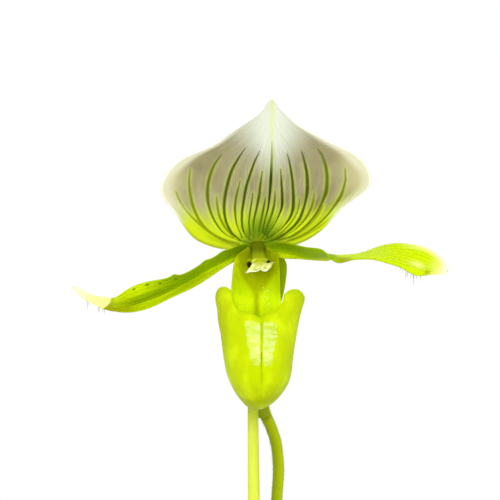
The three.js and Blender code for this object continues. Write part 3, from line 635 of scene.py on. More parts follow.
# Softboxes, m: azimuth from the front, elevation, distance, width and height, and brightness.
SOFTBOXES = dict(
    front=(0, 26, 1.0, (2.7, 0.8), 2.2),
    left=(-100, 25, 1.5, (1.0, 1.2), 1.1),
    right=(100, 25, 1.5, (1.0, 1.2), 1.0),
    back=(180, 35, 1.6, (1.8, 0.9), 1.7),
    top=(0, 88, 2.6, (4.4, 4.4), 0.6),
)
SOFTBOX_AIM = Vector((0, 0, 0.25))
WORLD = dict(light=0.3, seen=1.0)
FLOOR = dict(radius=2.1, rings=60, sides=160, fade_from=0.5, fade_to=1.8, glow=0.6)


def camera():
    data = bpy.data.cameras.new("camera")
    data.sensor_width = CAMERA["sensor"]
    data.lens = CAMERA["lens"]
    data.clip_start = 0.02
    cam = linked("camera", data)
    cam.location = Vector((FLOWER + CAMERA["from_flower"]) * MM)
    cam.rotation_euler = (math.radians(90), 0, 0)
    bpy.context.scene.camera = cam


def softbox(name, azimuth, elevation, distance, size, brightness):
    """A soft panel that faces the plant. Its brightness is that of white paper."""
    w, e = math.radians(azimuth), math.radians(elevation)
    away = Vector((math.sin(w) * math.cos(e), -math.cos(w) * math.cos(e), math.sin(e)))
    data = bpy.data.lights.new(name, "AREA")
    data.shape = "RECTANGLE"
    data.size, data.size_y = size
    data.energy = brightness * math.pi * size[0] * size[1]
    lamp = linked(name, data)
    lamp.location = SOFTBOX_AIM + away * distance
    lamp.rotation_euler = (-away).to_track_quat("-Z", "Y").to_euler()
    lamp.visible_camera = False


def surroundings():
    """White where they are seen, and a dimmer white as a light."""
    world = bpy.data.worlds.new("studio")
    bpy.context.scene.world = world
    world.use_nodes = True
    tree = world.node_tree
    dim = tree.nodes["Background"]
    seen = tree.nodes.new("ShaderNodeBackground")
    for node, strength in ((dim, WORLD["light"]), (seen, WORLD["seen"])):
        node.inputs["Color"].default_value = WHITE
        node.inputs["Strength"].default_value = strength
    both = tree.nodes.new("ShaderNodeMixShader")
    path = tree.nodes.new("ShaderNodeLightPath")
    tree.links.new(path.outputs["Is Camera Ray"], both.inputs[0])
    tree.links.new(dim.outputs[0], both.inputs[1])
    tree.links.new(seen.outputs[0], both.inputs[2])
    tree.links.new(both.outputs[0], tree.nodes["World Output"].inputs["Surface"])


def floor_look():
    k = Look("floor", "f2f1ee", roughness=0.8, specular=0.2)
    k.over("ebeae6", k.steps(k.noise(3), 0.4, 0.7))
    # The floor glows more the further it lies from the pot: painted light.
    k.shader.inputs["Emission Color"].default_value = WHITE
    k.plug(k.times("far", FLOOR["glow"]), k.shader.inputs["Emission Strength"])
    return k.done()


def floor_disc():
    """A pale floor whose far part glows: painted light that fades it into the white surroundings far from
    the pot.
    """
    rings, sides = FLOOR["rings"], FLOOR["sides"]
    reach = np.linspace(0, FLOOR["radius"], rings + 1)[1:, None]
    w = circle(sides)
    rows = np.stack([reach * np.cos(w), reach * np.sin(w), 0 * reach * w], axis=-1)
    points = rows.reshape(-1, 3)
    mesh = bpy.data.meshes.new("floor")
    mesh.from_pydata(points.tolist(), [], quads(rings, sides, flip=True).tolist() + [list(range(sides))])
    far = ramp(np.hypot(points[:, 0], points[:, 1]), FLOOR["fade_from"], FLOOR["fade_to"])
    mesh.attributes.new("far", "FLOAT", "POINT").data.foreach_set("value", far)
    mesh.materials.append(floor_look())
    floor = linked("floor", mesh)
    floor.location.z = -0.0005
    return floor


def studio():
    bpy.context.scene.view_settings.view_transform = "Standard"
    surroundings()
    for name, spec in SOFTBOXES.items():
        softbox(name, *spec)
    floor_disc()


# Pot and bark.
def pot_inside(z):
    return mix(POT["foot_r"], POT["mouth_r"], z / POT["height"]) - POT["wall"]


def rounded(corners, radii, steps=4):
    """A closed profile with each corner turned into a small arc."""
    out = []
    for k, r in enumerate(radii):
        p, c, q = (np.array(corners[(k + d) % len(corners)], float) for d in (-1, 0, 1))
        a = c + unit(p - c) * min(r, np.linalg.norm(p - c) * 0.45)
        b = c + unit(q - c) * min(r, np.linalg.norm(q - c) * 0.45)
        for t in np.linspace(0, 1, steps):
            out.append((1 - t)**2 * a + 2 * t * (1 - t) * c + t * t * b)
    return out


def pot():
    h, foot, mouth, out, floor = (POT[k] for k in ("height", "foot_r", "mouth_r", "rim_out", "floor"))
    rim_foot = h - POT["rim"]
    wall = mix(foot, mouth, rim_foot / h)
    centre = 0.05
    corners = [(centre, 0), (foot, 0), (wall, rim_foot), (wall + out, rim_foot), (mouth + out, h),
               (pot_inside(h), h), (pot_inside(floor), floor), (centre, floor)]
    shape = lathe(rounded(corners, [0.01, 1.2, 1.0, 1.3, 2.2, 2.0, 3.0, 0.01]), 144)
    # Darker towards the foot.
    wet = 0.8 * ramp(shape[0][:, 2], 14, -2)
    drill_drain_holes(piece("clay_pot", shape, clay_look(), "pot", place=0, masks={"wet": wet}))


def drill_drain_holes(obj):
    bm = bmesh.new()
    for k in range(4):
        w = math.radians(45 + 90 * k)
        hole = bmesh.ops.create_cone(bm, cap_ends=True, segments=32, radius1=POT["hole_r"] * MM,
                                     radius2=POT["hole_r"] * MM, depth=(POT["floor"] + 4) * MM)
        at = Vector((POT["hole_ring"] * math.cos(w), POT["hole_ring"] * math.sin(w), POT["floor"] / 2)) * MM
        bmesh.ops.translate(bm, verts=hole["verts"], vec=at)
    mesh = bpy.data.meshes.new("drill")
    bm.to_mesh(mesh)
    bm.free()
    drill = linked("drill", mesh)
    cut = obj.modifiers.new("drain", "BOOLEAN")
    cut.object = drill
    cut.solver = "EXACT"
    bpy.context.view_layer.update()
    shaped = bpy.data.meshes.new_from_object(obj.evaluated_get(bpy.context.evaluated_depsgraph_get()))
    obj.modifiers.clear()
    obj.data = shaped
    bpy.data.objects.remove(drill)
    bpy.context.view_layer.update()


BARK = dict(chips=430, margin=3, seed=11, rise=(-2.2, 2.4), long=(6, 15), wide=(4, 8.5), thick=(2.5, 5))


def chip(rng, at, size, euler, seed):
    """A rough, bevelled block of bark."""
    bm = bmesh.new()
    bmesh.ops.create_cube(bm, size=1)
    for v in bm.verts:
        v.co = Vector(c * s * f for c, s, f in zip(v.co, size, rng.uniform(0.62, 1.12, 3)))
    bmesh.ops.bevel(bm, geom=list(bm.edges), offset=0.45, segments=2, profile=0.6, affect="EDGES")
    long_edges = [e for e in bm.edges if e.calc_length() > 2.4]
    bmesh.ops.subdivide_edges(bm, edges=long_edges, cuts=2, use_grid_fill=True)
    for v in bm.verts:
        v.co += v.co.normalized() * noise.noise(v.co * 0.45 + seed) * 0.9
    bm.verts.index_update()
    points = np.array([v.co[:] for v in bm.verts]) @ np.array(euler.to_matrix()).T + at
    faces = [[v.index for v in f.verts] for f in bm.faces]
    bm.free()
    reach = np.hypot(points[:, 0], points[:, 1])
    points[:, :2] *= np.minimum(1, (pot_inside(BARK_TOP) - 0.5) / np.maximum(reach, 1e-6))[:, None]
    return points, faces


def chips():
    """Loose chips in a sunflower pattern, smaller near the growths and left out in their wells."""
    rng = np.random.RandomState(BARK["seed"])
    golden = math.pi * (3 - math.sqrt(5))
    inside = pot_inside(BARK_TOP)
    for k in range(BARK["chips"]):
        r = (inside - BARK["margin"]) * math.sqrt((k + 0.5) / BARK["chips"])
        w = k * golden
        at = np.array([r * math.cos(w), r * math.sin(w), BARK_TOP + rng.uniform(*BARK["rise"])])
        size = np.array([rng.uniform(*BARK[key]) for key in ("long", "wide", "thick")])
        tilt = rng.uniform(-0.5, 0.5, 2)
        turn, tone = rng.uniform(0, 2 * math.pi), rng.uniform(0, 1)
        seed = Vector(rng.uniform(-50, 50, 3))
        free = min(math.dist(at[:2], g["at"]) - g["well"] for g in (OLD_GROWTH, YOUNG_GROWTH))
        if free < 1:
            continue
        if free < 3.5:
            size *= 0.55
        size *= min(1, (inside - 0.6 - r) / 5 + 0.45)
        yield chip(rng, at, size, Euler((*tilt, turn)), seed), tone * tone


def bark():
    foot = POT["floor"] + GAP
    outer = pot_inside(BARK_TOP - 2) - GAP
    inner = 0.5
    bed = lathe([(inner, foot), (pot_inside(POT["floor"]) - GAP, foot), (outer, BARK_TOP - 2.5),
                 (16, BARK_TOP - 3.0), (13, BARK_TOP - 5), (inner, BARK_TOP - 6)], 96)
    shapes, tones = zip(*chips(), (bed, 0.0))
    pale = np.repeat(tones, [len(points) for points, _ in shapes])
    obj = piece("bark_chips", join(*shapes), bark_look(), "potting_bark", place=0,
                masks={"pale": pale})
    obj.data.polygons.foreach_set("use_smooth", [False] * len(obj.data.polygons))


# Leaves.
LEAF_ROWS, LEAF_COLUMNS = 110, 36


def direction(heading, climb):
    level = np.cos(climb)
    return np.stack([level * np.cos(heading), level * np.sin(heading), np.sin(climb)], axis=1)


def leaf_walk(length, rise, fall, turn, finer=8):
    """The middle of a leaf, which turns aside and arches over, and its heading and climb."""
    u = np.linspace(0, 1, LEAF_ROWS * finer + 1)
    heading = np.radians(turn * ramp(u, 0.12, 0.82))
    climb = np.radians(mix(rise, fall, u**1.25))
    ahead = direction(heading, climb)
    steps = (ahead[1:] + ahead[:-1]) / 2 * length / (len(u) - 1)
    path = np.vstack([[0, 0, 0], np.cumsum(steps, axis=0)])
    return path[::finer], heading[::finer], climb[::finer]


def leaf(number, growth, side, base_r, length, width, rise, fall, turn, look):
    path, heading, climb = leaf_walk(length, rise, fall, turn)
    lateral = direction(heading + np.pi / 2, 0 * climb)
    inward = direction(heading, climb + np.pi / 2)
    u, t = grid(LEAF_ROWS, LEAF_COLUMNS)
    opened = ramp(u, 0.02, 0.32)
    half_angle = mix(1.44, 0.5, opened)
    taper = (1 - np.maximum(0, (u - 0.5) / 0.5)**2.6)**0.62
    half = np.maximum(0.5, mix(base_r * half_angle, width / 2, smooth(u / 0.42)) * taper)
    bend = half / half_angle
    keel = 0.14 * half * opened * np.sqrt(t**2 + 0.004) * (1 - 0.3 * u)
    wave = 0.5 * opened * t**2 * np.sin(9 * u + base_r + 2 * t)
    across = bend * np.sin(half_angle * t)
    lift = bend * (1 - np.cos(half_angle * t)) + keel + wave
    middle = (path + [base_r, 0, 0])[:, None]
    points = middle + lateral[:, None] * across[..., None] + inward[:, None] * lift[..., None]
    facing = math.radians(growth["heading"] + 180 * side)
    c, s = math.cos(facing), math.sin(facing)
    points = points @ np.array([[c, s, 0], [-s, c, 0], [0, 0, 1]]) + [*growth["at"], WELL_FLOOR + GAP]
    masks = {"rib": stripe(t, 0, 0.045) * (u > 0), "foot": ramp(u, 0.2, 0.04),
             "under": np.repeat([0.0, 1.0], u.size)}
    uv = np.stack([u * length / 10 + 7 * number, t * half / 10], axis=-1).reshape(-1, 2)
    piece(f"leaf_blade_{number:02d}", thinned(points, t, 1.25, 0.35, 4), look, f"leaf_{number:02d}",
          place=0, masks=masks, uv=uv)


# Flower.
def vein_masks(points):
    """How far each point lies inside a vein and beside one, and how yellow that vein is."""
    flat = points.reshape(-1, 3)[:, [0, 2]]
    vein, halo, yellow = np.zeros((3, len(flat)))
    s = np.linspace(0, 1, 90)
    swell = np.interp(s, [0, 0.2, 0.45, 0.75, 1], [0.2, 0.72, 1, 0.6, 0.25])
    for width, tone, line in VEINS:
        course = spline(line, s)
        half = 0.53 * width * swell
        low, high = course.min(axis=0) - 2.5, course.max(axis=0) + 2.5
        near = np.where(np.all((flat > low) & (flat < high), axis=1))[0]
        apart = (np.linalg.norm(flat[near, None] - course[None], axis=2) - half).min(axis=1)
        core = ramp(apart, 0.27, -0.07)
        yellow[near] = np.where(core > vein[near], tone, yellow[near])
        vein[near] = np.maximum(vein[near], core)
        halo[near] = np.maximum(halo[near], ramp(apart, 1, 0.1))
    return [v.reshape(points.shape[:2]) for v in (vein, halo, yellow)]


def hood_masks(points, t):
    x, z = points[..., 0], points[..., 2]
    vein, halo, yellow = vein_masks(points)
    edge_gap = (1 - np.abs(t)) * np.linalg.norm(points[:, -1] - points[:, 0], axis=1)[:, None] / 2
    above_foot = z - np.interp(x, DORSAL_FOOT[:, 0], DORSAL_FOOT[:, 1])
    reach = mix(1.6, 4.5, ramp(np.abs(x - 2), 10, 26))
    reach = reach + 2.2 * ramp(z, 20, 25) * ramp(np.abs(x - 3), 6, 14)
    middle_lime = ramp(np.abs(x - 1), 27, 19) * ramp(np.abs(x), 6, 12)
    upper_halo = 0.3 * ramp(z, 27, 21) * ramp(z, 6, 16)
    return {
        "vein": vein * ramp(edge_gap, 0.5, 1.7) * (1 - 0.4 * yellow * ramp(z, 8, 3)),
        "yellow": yellow * mix(0.6, 1, ramp(z, 14, 6)),
        "deep": ramp(z, 13, 3) * (1 - 0.95 * yellow),
        "halo": halo * (ramp(z, 16, 6) + upper_halo),
        "green": ramp(z, 13, 5),
        "lime": ramp(above_foot, 7, 1) * middle_lime,
        # Beige shoulders: painted shade on the white sepal.
        "shoulder": ramp(np.abs(x - 1.5), 18, 29) * ramp(z, 8, 13),
        "white": ramp(z, 17, 31) * stripe(x, 4, mix(5, 11, ramp(z, 24, 38))),
        "midline": stripe(x, 4, 0.5) * ramp(z, 20, 27),
        "heart": ramp(np.hypot((x - 1) * 1.1, (z - 1) * 0.75), 9, 3),
        "collar": 0.8 * stripe(x, -0.1, 1.9) * ramp(z, 4.2, 0.8),
        "satin": 0.5 * ramp(z, 9, 19) * ramp(np.abs(x - 3), 20, 6),
        # The next two whiten the margins: painted light glowing through the thin tissue.
        "fade": 0.7 * smooth((reach - edge_gap) / 4) * ramp(z, 6, 13),
        "edge": ramp(edge_gap, 0.75, 0.15) * ramp(np.abs(x), 7, 13) * ramp(z, 5, 11),
        # Painted shade along the lower margin near the base.
        "rim": 0.6 * ramp(edge_gap, 0.9, 0.2) * ramp(z, 8, 2) * ramp(np.abs(x), 7, 11),
    }


def hood_ribs(u, t):
    return 0.28 * np.cos(np.pi * 9 * t) * ramp(u, 0.9, 0.6) * smooth(u / 0.15)


def dorsal_sepal(cilia):
    points, u, t = strip(DORSAL, 160, 250, hood_ribs)
    masks = hood_masks(points, t)
    points[..., 1] += 0.12 * masks["vein"]
    uv = np.stack([u, t], axis=-1).reshape(-1, 2)
    piece("dorsal_hood", thinned(points, t, 0.8, 0.3, 8), sepal_look(), "dorsal_sepal", masks=masks,
          uv=uv)
    rng = np.random.RandomState(3)
    margin_hairs("dorsal_cilia", points, rng, cilia, count=150, start=0.05, reach=(0.25, 0.7),
                 radius=0.025, droop=0.1)


def margin_hairs(name, points, rng, look, count, start, reach, radius, droop):
    """Fine hairs that stand out from both long margins of a blade."""
    roots, directions, lengths = [], [], []
    for _ in range(count):
        i = int(mix(start, 0.985, rng.uniform()) * (points.shape[0] - 1))
        edge, inner = (points[i, 0], points[i, 3]) if rng.uniform() < 0.5 else (points[i, -1], points[i, -4])
        roots.append(edge)
        directions.append(unit(edge - inner) + rng.uniform(-0.35, 0.35, 3))
        lengths.append(mix(*reach, rng.uniform()))
    piece(name, hairs(np.array(roots), directions, lengths, radius, droop), look, None)


def synsepal(look):
    points, _, t = strip(SYNSEPAL, 70, 44, lambda u, t: 0.15 * np.cos(np.pi * 7 * t) * smooth(u / 0.1))
    # The whole synsepal is darkened: painted shade, as it lies behind the lip.
    masks = {"line": ramp(np.cos(np.pi * 7 * t), 0.3, 0.9), "dark": 0 * t + 0.4, "brown": 0 * t + 0.2}
    piece("synsepal_blade", thinned(points, t, 0.8, 0.3), look, "synsepal", masks=masks)


def left_petal_masks(u, t):
    turn = u - (0.704 + 0.05 * t)
    pale = smooth(turn / 0.014)
    # Painted shade: a dark band along the upper half and a fainter one in the lower half.
    upper_dark = stripe(t, mix(-0.2, -0.06, ramp(u, 0.26, 0.56)), 0.22)
    lower_dark = stripe(t, mix(0.4, 0.9, ramp(u, 0.5, 0.72)), 0.16)
    dark = upper_dark * ramp(u, 0.28, 0.4) * ramp(u, 0.64, 0.48) \
        + lower_dark * 0.2 * ramp(u, 0.46, 0.56)
    return {
        "shade": ramp(u, 0.2, 0.04) * ramp(t, 0.3, -0.4),
        # The lower half, which faces up, painted lighter: painted light.
        "low": np.maximum(ramp(t, 0.02, 0.32), 0.55 * ramp(u, 0.5, 0.6)),
        "high": 0.9 * ramp(t, -0.32, -0.72) * ramp(u, 0.3, 0.5),
        # A painted highlight along the ridge.
        "ridge": 0.9 * stripe(t, 0.33, 0.07) * ramp(u, 0.5, 0.3),
        "dark": 0.75 * smooth(-turn / 0.02) * dark,
        "brown": ramp(t, -0.1, 0.3) * ramp(u, 0.46, 0.58),
        "pale": pale,
        "tip": ramp(u, 0.82, 1) * pale,
        # A painted shade line along the fold where the petal turns.
        "fold": 0.5 * stripe(turn, -0.014, 0.012),
    }


def right_petal_masks(u, t):
    flag = ramp(u, 0.4, 0.54)
    lower_pale = 0.8 * ramp(t, 0.45, 0.95) * ramp(u, 0.7, 0.84)
    # A painted highlight on the rolled bump near the tip.
    upper_pale = 0.9 * stripe(u, 0.815, 0.03) * stripe(t, -0.42, 0.2)
    # A painted shade line along the fold at the neck.
    first_fold = 0.85 * ramp(-t, 0.35, 0.65) * ramp(u, 0.427, 0.454) * ramp(u, 0.545, 0.49)
    return {
        "shade": 0.7 * ramp(t, 0.1, -0.8) * ramp(u, 0.26, 0.06),
        # The neck's lower band, which faces up, painted lighter: painted light.
        "low": ramp(t, 0.1, 0.6) * (1 - flag),
        # A painted highlight along the ridge where the petal turns.
        "ridge": 0.8 * stripe(u, 0.47, 0.07) * ramp(t, -0.6, -0.1),
        # A small painted shadow spot past the neck.
        "dark": 0.7 * stripe(u, 0.52, 0.014) * stripe(t, -0.2, 0.25),
        # The flag's brighter yellow-green: partly its upper face's own colour, partly painted light.
        "far": flag,
        # Pale tip and margins, with the painted highlight on the rolled bump.
        "pale": ramp(u, 0.85, 1) + lower_pale + upper_pale,
        "tip": ramp(u, 0.93, 1) + 0.8 * ramp(t, 0.8, 1) * ramp(u, 0.76, 0.86),
        # Painted shade in the folds past the bump and at the neck.
        "fold": 0.8 * stripe(u, 0.877, 0.02) * stripe(t, -0.8, 0.22) + first_fold,
    }


# Bumps: place along, height. Warts: place along, place across, radius. Lashes: place along, length, lean.
PETALS = dict(
    left=dict(
        lines=PETAL_LEFT, masks=left_petal_masks, phase=0.6, roll=0, seed=21, lash_column=-1,
        bumps=[(0.329, 0.6), (0.188, 0.45), (0.125, 0.4)],
        warts=[(0.508, -0.86, 0.34), (0.438, -0.84, 0.42), (0.388, -0.78, 0.42), (0.362, -0.86, 0.3),
               (0.325, -0.72, 0.45), (0.215, -0.6, 0.25), (0.585, -0.9, 0.22)],
        lashes=[(0.745, 1.3, 0.1), (0.765, 1.0, -0.1), (0.8, 1.7, -0.1), (0.812, 1.4, 0.12),
                (0.9, 2.3, -0.12), (0.915, 1.2, 0.2)],
    ),
    right=dict(
        lines=PETAL_RIGHT, masks=right_petal_masks, phase=2.1, roll=1.5, seed=22, lash_column=0, bumps=[],
        warts=[(0.459, -0.7, 0.25), (0.532, -0.7, 0.28), (0.627, -0.8, 0.24), (0.382, -0.75, 0.2)],
        lashes=[(0.727, 1.2, -0.5), (0.745, 1.5, -0.4), (0.759, 1.2, -0.5), (0.773, 2.0, -0.1),
                (0.779, 1.4, -0.2), (0.786, 1.5, -0.3), (0.8, 1.6, -0.35), (0.809, 2.3, 0.05),
                (0.814, 3.0, -0.1), (0.827, 1.4, 0.15), (0.845, 1.3, 0.2)],
    ),
)


def petal(side, look, wart, cilia):
    spec = PETALS[side]
    rows, columns = 260, 48
    last = len(spec["lines"]["mid"]) - 1

    def free(u):
        """Place along the free part of the petal, whose zero is the second section."""
        return (u * last - 1) / (last - 1)

    def row(place):
        return int((place * (last - 1) + 1) / last * rows)

    def ruffle(u, t):
        swell = 0.45 * t**3 * np.sin(26 * u + spec["phase"]) * smooth(u / 0.2) * ramp(u, 1, 0.9)
        return swell + spec["roll"] * stripe(free(u), 0.809, 0.045) * stripe(t, -0.72, 0.25) \
            + 0.06 * np.cos(np.pi * 8 * t)

    points, u, t = strip(spec["lines"], rows, columns, ruffle)
    u = free(u)
    for place, height in spec["bumps"]:
        points[..., 2] += height * stripe(u, place, 0.017) * ramp(-t, 0.5, 1)
    masks = spec["masks"](u, t)
    masks["line"] = ramp(np.cos(np.pi * 8 * t), 0.55, 1) * smooth(u / 0.1) * (1 - masks["pale"])
    name = side + "_petal"
    piece(name, thinned(points, t, 0.75, 0.28), look, "petal_" + side, masks=masks)
    rng = np.random.RandomState(spec["seed"])
    margin_hairs(name + "_cilia", points, rng, cilia, count=70, start=0.1, reach=(0.25, 0.6),
                 radius=0.02, droop=0.15)
    balls = [ball(points[row(a), int((b + 1) / 2 * columns)] - (0, 0.35, 0), (r * 1.4, r, r), 8, 12)
             for a, b, r in spec["warts"]]
    piece(name + "_warts", join(*balls), wart, None)
    places, reaches, leans = zip(*spec["lashes"])
    roots = np.array([points[row(a), spec["lash_column"]] for a in places])
    lashes = hairs(roots, [(lean, -0.25, -1) for lean in leans], 1.15 * np.array(reaches), 0.1, 0.05)
    piece(name + "_lashes", lashes, cilia, None)


# Lip. The pouch's groove lies a little to the right of its middle, between two glossy patches.
GROOVE_TURN = 4.8
GLOSS_X = 0.9


def pouch_cup():
    """The open pouch, whose rim rises and falls with the angle from the front, and where its rim lies."""
    w = np.degrees(circle(300))
    angle = w + 5 * np.sin(np.radians(2 * w))
    from_middle = (angle + 180) % 360 - 180
    from_front = np.abs(from_middle)
    rim = np.where(angle < 180, table(RIM_RIGHT, from_front), table(RIM_LEFT, from_front))
    rise = (np.linspace(0, 1, 121)**0.8)[:, None]
    z = mix(POUCH[0, 0], rim, rise)
    half, front, back, middle = (table(POUCH, z, k) for k in (1, 2, 3, 4))
    groove = 0.35 * stripe(from_middle, GROOVE_TURN, 3) * ramp(z, -44, -38)
    fold = 0.6 * ramp(z, -15.5, -11.5) * ramp(from_front, 70, 40)
    roll = 0.5 * stripe(z - rim, -1.6, 1.2) * ramp(from_front, 36, 24)
    x = middle + (half - fold) * np.sin(np.radians(angle))
    y = (front + back) / 2 - ((back - front) / 2 - groove + roll) * np.cos(np.radians(angle))
    cup = blade(np.stack([x, y, z], axis=-1), mix(1.2, 0.5, rise**3), closed=True)
    return cup, ramp(rise, 0.955, 0.985) + 0 * z


def lip_claw():
    """The claw, with a groove down its lower half and a shoulder on each side of the column."""
    points, u, t = strip(CLAW, 90, 60, lambda u, t: -0.3 * stripe(t, -0.06, 0.1) * ramp(u, 0.5, 0.6))
    off = np.abs(t)
    points[..., 2] += 1.3 * ramp(off, 0.5, 0.7) * ramp(off, 1, 0.8) * ramp(u, 0.16, 0)
    return thinned(points, t, 0.9, 0.25)


def lip():
    cup, rim_line = pouch_cup()
    toe = ball((-0.2, -18.5, -45.1), (2.4, 3, 0.8))
    points, faces = join(cup, toe, lip_claw())
    on_cup = np.arange(len(points)) < len(cup[0])
    on_claw = np.arange(len(points)) >= len(cup[0]) + len(toe[0])
    x, y, z = points.T
    off = np.abs(x - GLOSS_X)
    # Where the pouch's groove runs, which a painted shade line follows.
    seam_x = table(POUCH, z, 4) + table(POUCH, z, 1) * math.sin(math.radians(GROOVE_TURN))
    patch = smooth((mix(3.5, 5.3, (z + 34) / 12) - off) / 1.5) * ramp(off, 0.15, 0.65)
    # Painted shade on the claw's upper part and margins, and on the pouch's sides, more on the left, and on
    # its foot.
    claw_side = 0.4 - 0.4 * ramp(z, -10, -16) + 0.4 * ramp(np.abs(x + 0.6), 4.8, 6.8)
    cup_side = mix(0.25, 0.65, x < 0) * ramp(np.abs(x), 6.5, 11) + 0.9 * ramp(z, -36.5, -43.5)
    claw_groove = stripe(x, -0.42, 0.85) * ramp(z, -11.5, -14)
    below_shield = smooth((mix(1.2, 5.8, (z + 15) / 7) - np.abs(x + 0.2)) / 2) * ramp(z, -15.5, -11.5)
    masks = {
        "side": np.where(on_claw, claw_side, cup_side),
        "shade": on_claw * 0.8 * np.maximum(claw_groove, below_shield),
        # Painted shade on the claw's top, under the column and petals.
        "throat": on_claw * 0.85 * ramp(z, -7.5, -3),
        # A painted shade line along the pouch's rim.
        "rim": on_cup * 0.6 * np.resize(rim_line, len(points)),
        "claw": on_claw * ramp(z, -21, -13),
        # A painted shade line in the pouch's groove.
        "seam": ~on_claw * 0.55 * stripe(x, seam_x, 0.3) * (y < -17),
        # Painted light on the claw's lower part.
        "fresh": on_claw * 0.9 * ramp(z, -12, -17),
        # Painted shade on the claw's top corners beside the column.
        "corner": on_claw * 0.8 * ramp(z, -4.2, -1.6),
        "gloss": ~on_claw * patch * ramp(z, -34.6, -31) * ramp(z, -20, -22.2),
        # Painted highlights: pale dots on the claw's right side.
        "beads": on_claw * ramp(np.abs(x - 2.6), 1.8, 0.8) * ramp(z, -18, -16.5) * ramp(z, -10.5, -12.5),
    }
    inside = slice(len(cup[0]) // 2, len(cup[0]))
    masks["shade"][inside] = 0.4
    piece("lip_pouch", (points, faces), pouch_look(), "lip", masks=masks)


# Column.
SHIELD_RIM = [
    (-3.65, -7.75), (-2.75, -7.5), (-1.5, -7.45), (-0.3, -7.3), (0.7, -6.8), (1.7, -7.3), (2.55, -7.1),
    (3.5, -6.15), (4.1, -5.1), (4.55, -4.7), (4, -4.8), (3.7, -5.3), (3.3, -5.9), (2.9, -5.7), (2.65, -5.1),
    (2.3, -4.4), (1.6, -3.8), (0.7, -3.4), (-0.4, -3.8), (-1.2, -4.6), (-1.8, -5.4), (-2.3, -6.2),
    (-2.9, -6.9),
]


def shield():
    """The staminode: a thin crescent whose lower edge curls forward, and how far each point is curled."""
    rim = SHIELD_RIM + SHIELD_RIM[:3]
    steps = 5 * (len(rim) - 1)
    closed = spline(rim, np.linspace(0, 1, steps + 1))[5:steps - 4]
    centre = np.array([0.5, -5.7])
    s = np.linspace(0.02, 1, 18)[:, None]
    x, z = np.moveaxis(centre + (closed - centre) * s[..., None], -1, 0)
    low = ramp(z, -6.2, -7.1)
    curl = ramp(s, 0.78, 1)
    y = -9.5 - 0.7 * (1 - s**2) - 0.45 * curl * low + 0.9 * curl * ramp(z, -5.5, -4)
    return blade(np.stack([x, y, z], axis=-1), 0.42, closed=True), curl * low


def column():
    along = np.linspace(0, 1, 30)
    path = spline([(0, 0.1, -0.7), (0, -3, -1.4), (0.1, -6.6, -2.6), (0.3, -8.6, -3.8)], along)
    stalk = tube(path, np.interp(along, [0, 0.15, 0.35, 0.75, 1], [2.2, 1.95, 1.7, 1.95, 1.3]), 40)
    boss = ball((0.4, -8.1, -4.5), (2.3, 1.6, 1.9))
    plate, curled = shield()
    anthers = [ball((x, -6.6, -4.6), (1.1, 1.3, 1.2)) for x in (-2.2, 2.6)]
    # Two dark balls stand for the deep shade in the gaps beside the staminode: painted shadow.
    pits = [ball((-2.5, -7.7, -5.3), (0.68, 0.5, 0.92)), ball((3.0, -9.4, -4.9), (0.62, 0.4, 0.85))]
    stigma = ball((0.2, -5.6, -5.4), (2, 1.8, 1.6))
    parts = dict(stalk=[stalk, boss], plate=[plate], pollen=anthers, pits=pits, stigma=[stigma])
    points, faces = join(*(shape for shapes in parts.values() for shape in shapes))
    tag = np.repeat(list(parts), [sum(len(shape[0]) for shape in shapes) for shapes in parts.values()])
    on_stalk, on_plate = tag == "stalk", tag == "plate"
    x, _, z = points.T
    edge = np.zeros(len(points))
    edge[on_plate] = np.resize(curled, on_plate.sum())
    masks = {
        # Olive towards the top: partly its own colour, partly painted shade under the petals and sepal.
        "olive": ramp(z, -3.2, -1.2),
        "yellow": on_stalk * ramp(z, -3.2, -4.6),
        "cream": on_plate * ramp(z, -4.2, -5.8),
        "eye": on_plate * 0.75 * stripe(x, 0.5, 1.3) * ramp(z, -6.4, -5.2),
        "lip": edge,
        # Painted shadow on the balls in the gaps.
        "dark": 1.0 * (tag == "pits"),
    }
    piece("column_shield", (points, faces), column_look(), "column", masks=masks)


# Stem and bract.
def scape(look, hair):
    rows, sides = 420, 36
    knots = np.array(SCAPE)
    u = np.linspace(0, 1, rows)
    path = spline(knots[:, :3], u)
    radius = np.interp(u, np.linspace(0, 1, len(knots)), knots[:, 3])
    points, faces = tube(path, radius, sides)
    ribs = 0.13 * np.cos(6 * circle(sides)) * ramp(u, 0.33, 0.27)[:, None]
    outward = unit(points - np.repeat(path, sides, axis=0))
    points = points + outward * ribs.reshape(-1, 1)
    # Lighter towards +x: painted light from that side.
    masks = {"ovary": np.repeat(ramp(path[:, 2], -52, -46), sides), "sunny": ramp(outward[:, 0], -0.6, 1)}
    piece("flower_stem", (points, faces), look, "scape", masks=masks)
    rng = np.random.RandomState(5)
    at = rng.uniform(0, 1, 5200)**1.35 * 0.97 + 0.015
    i = (at * (rows - 1)).astype(int)
    turn = rng.uniform(0, 2 * np.pi, len(i))[:, None]
    along = unit(np.gradient(path, axis=0))[i]
    side = unit(np.cross(along, [1.0, 0.3, 0.1]))
    out = side * np.cos(turn) + np.cross(along, side) * np.sin(turn)
    lean = out + along * rng.uniform(-0.1, 0.5, len(i))[:, None]
    fuzz = hairs(path[i] + out * (radius[i] - 0.05)[:, None], lean, rng.uniform(0.3, 0.75, len(i)), 0.025, 0)
    piece("stem_hairs", fuzz, hair, None)


def bract(look):
    """The sheath round the stem's left side at the ovary's foot."""
    u, t = grid(60, 36)
    knots = np.array(SCAPE[3:9])[::-1]
    z = mix(-50.8, -27.0, u)
    x, y, r = (np.interp(z, knots[:, 2], knots[:, k]) for k in (0, 1, 3))
    r = r + 0.75 + 1.1 * np.sin(np.pi * np.minimum(1, u * 1.15))
    w = mix(2.1, 0.22, u**1.4) * t
    points = np.stack([x - r * np.cos(w), y + r * np.sin(w), z], axis=-1)
    piece("bract_sheath", thinned(points, t, 0.65, 0.25), look, "bract")


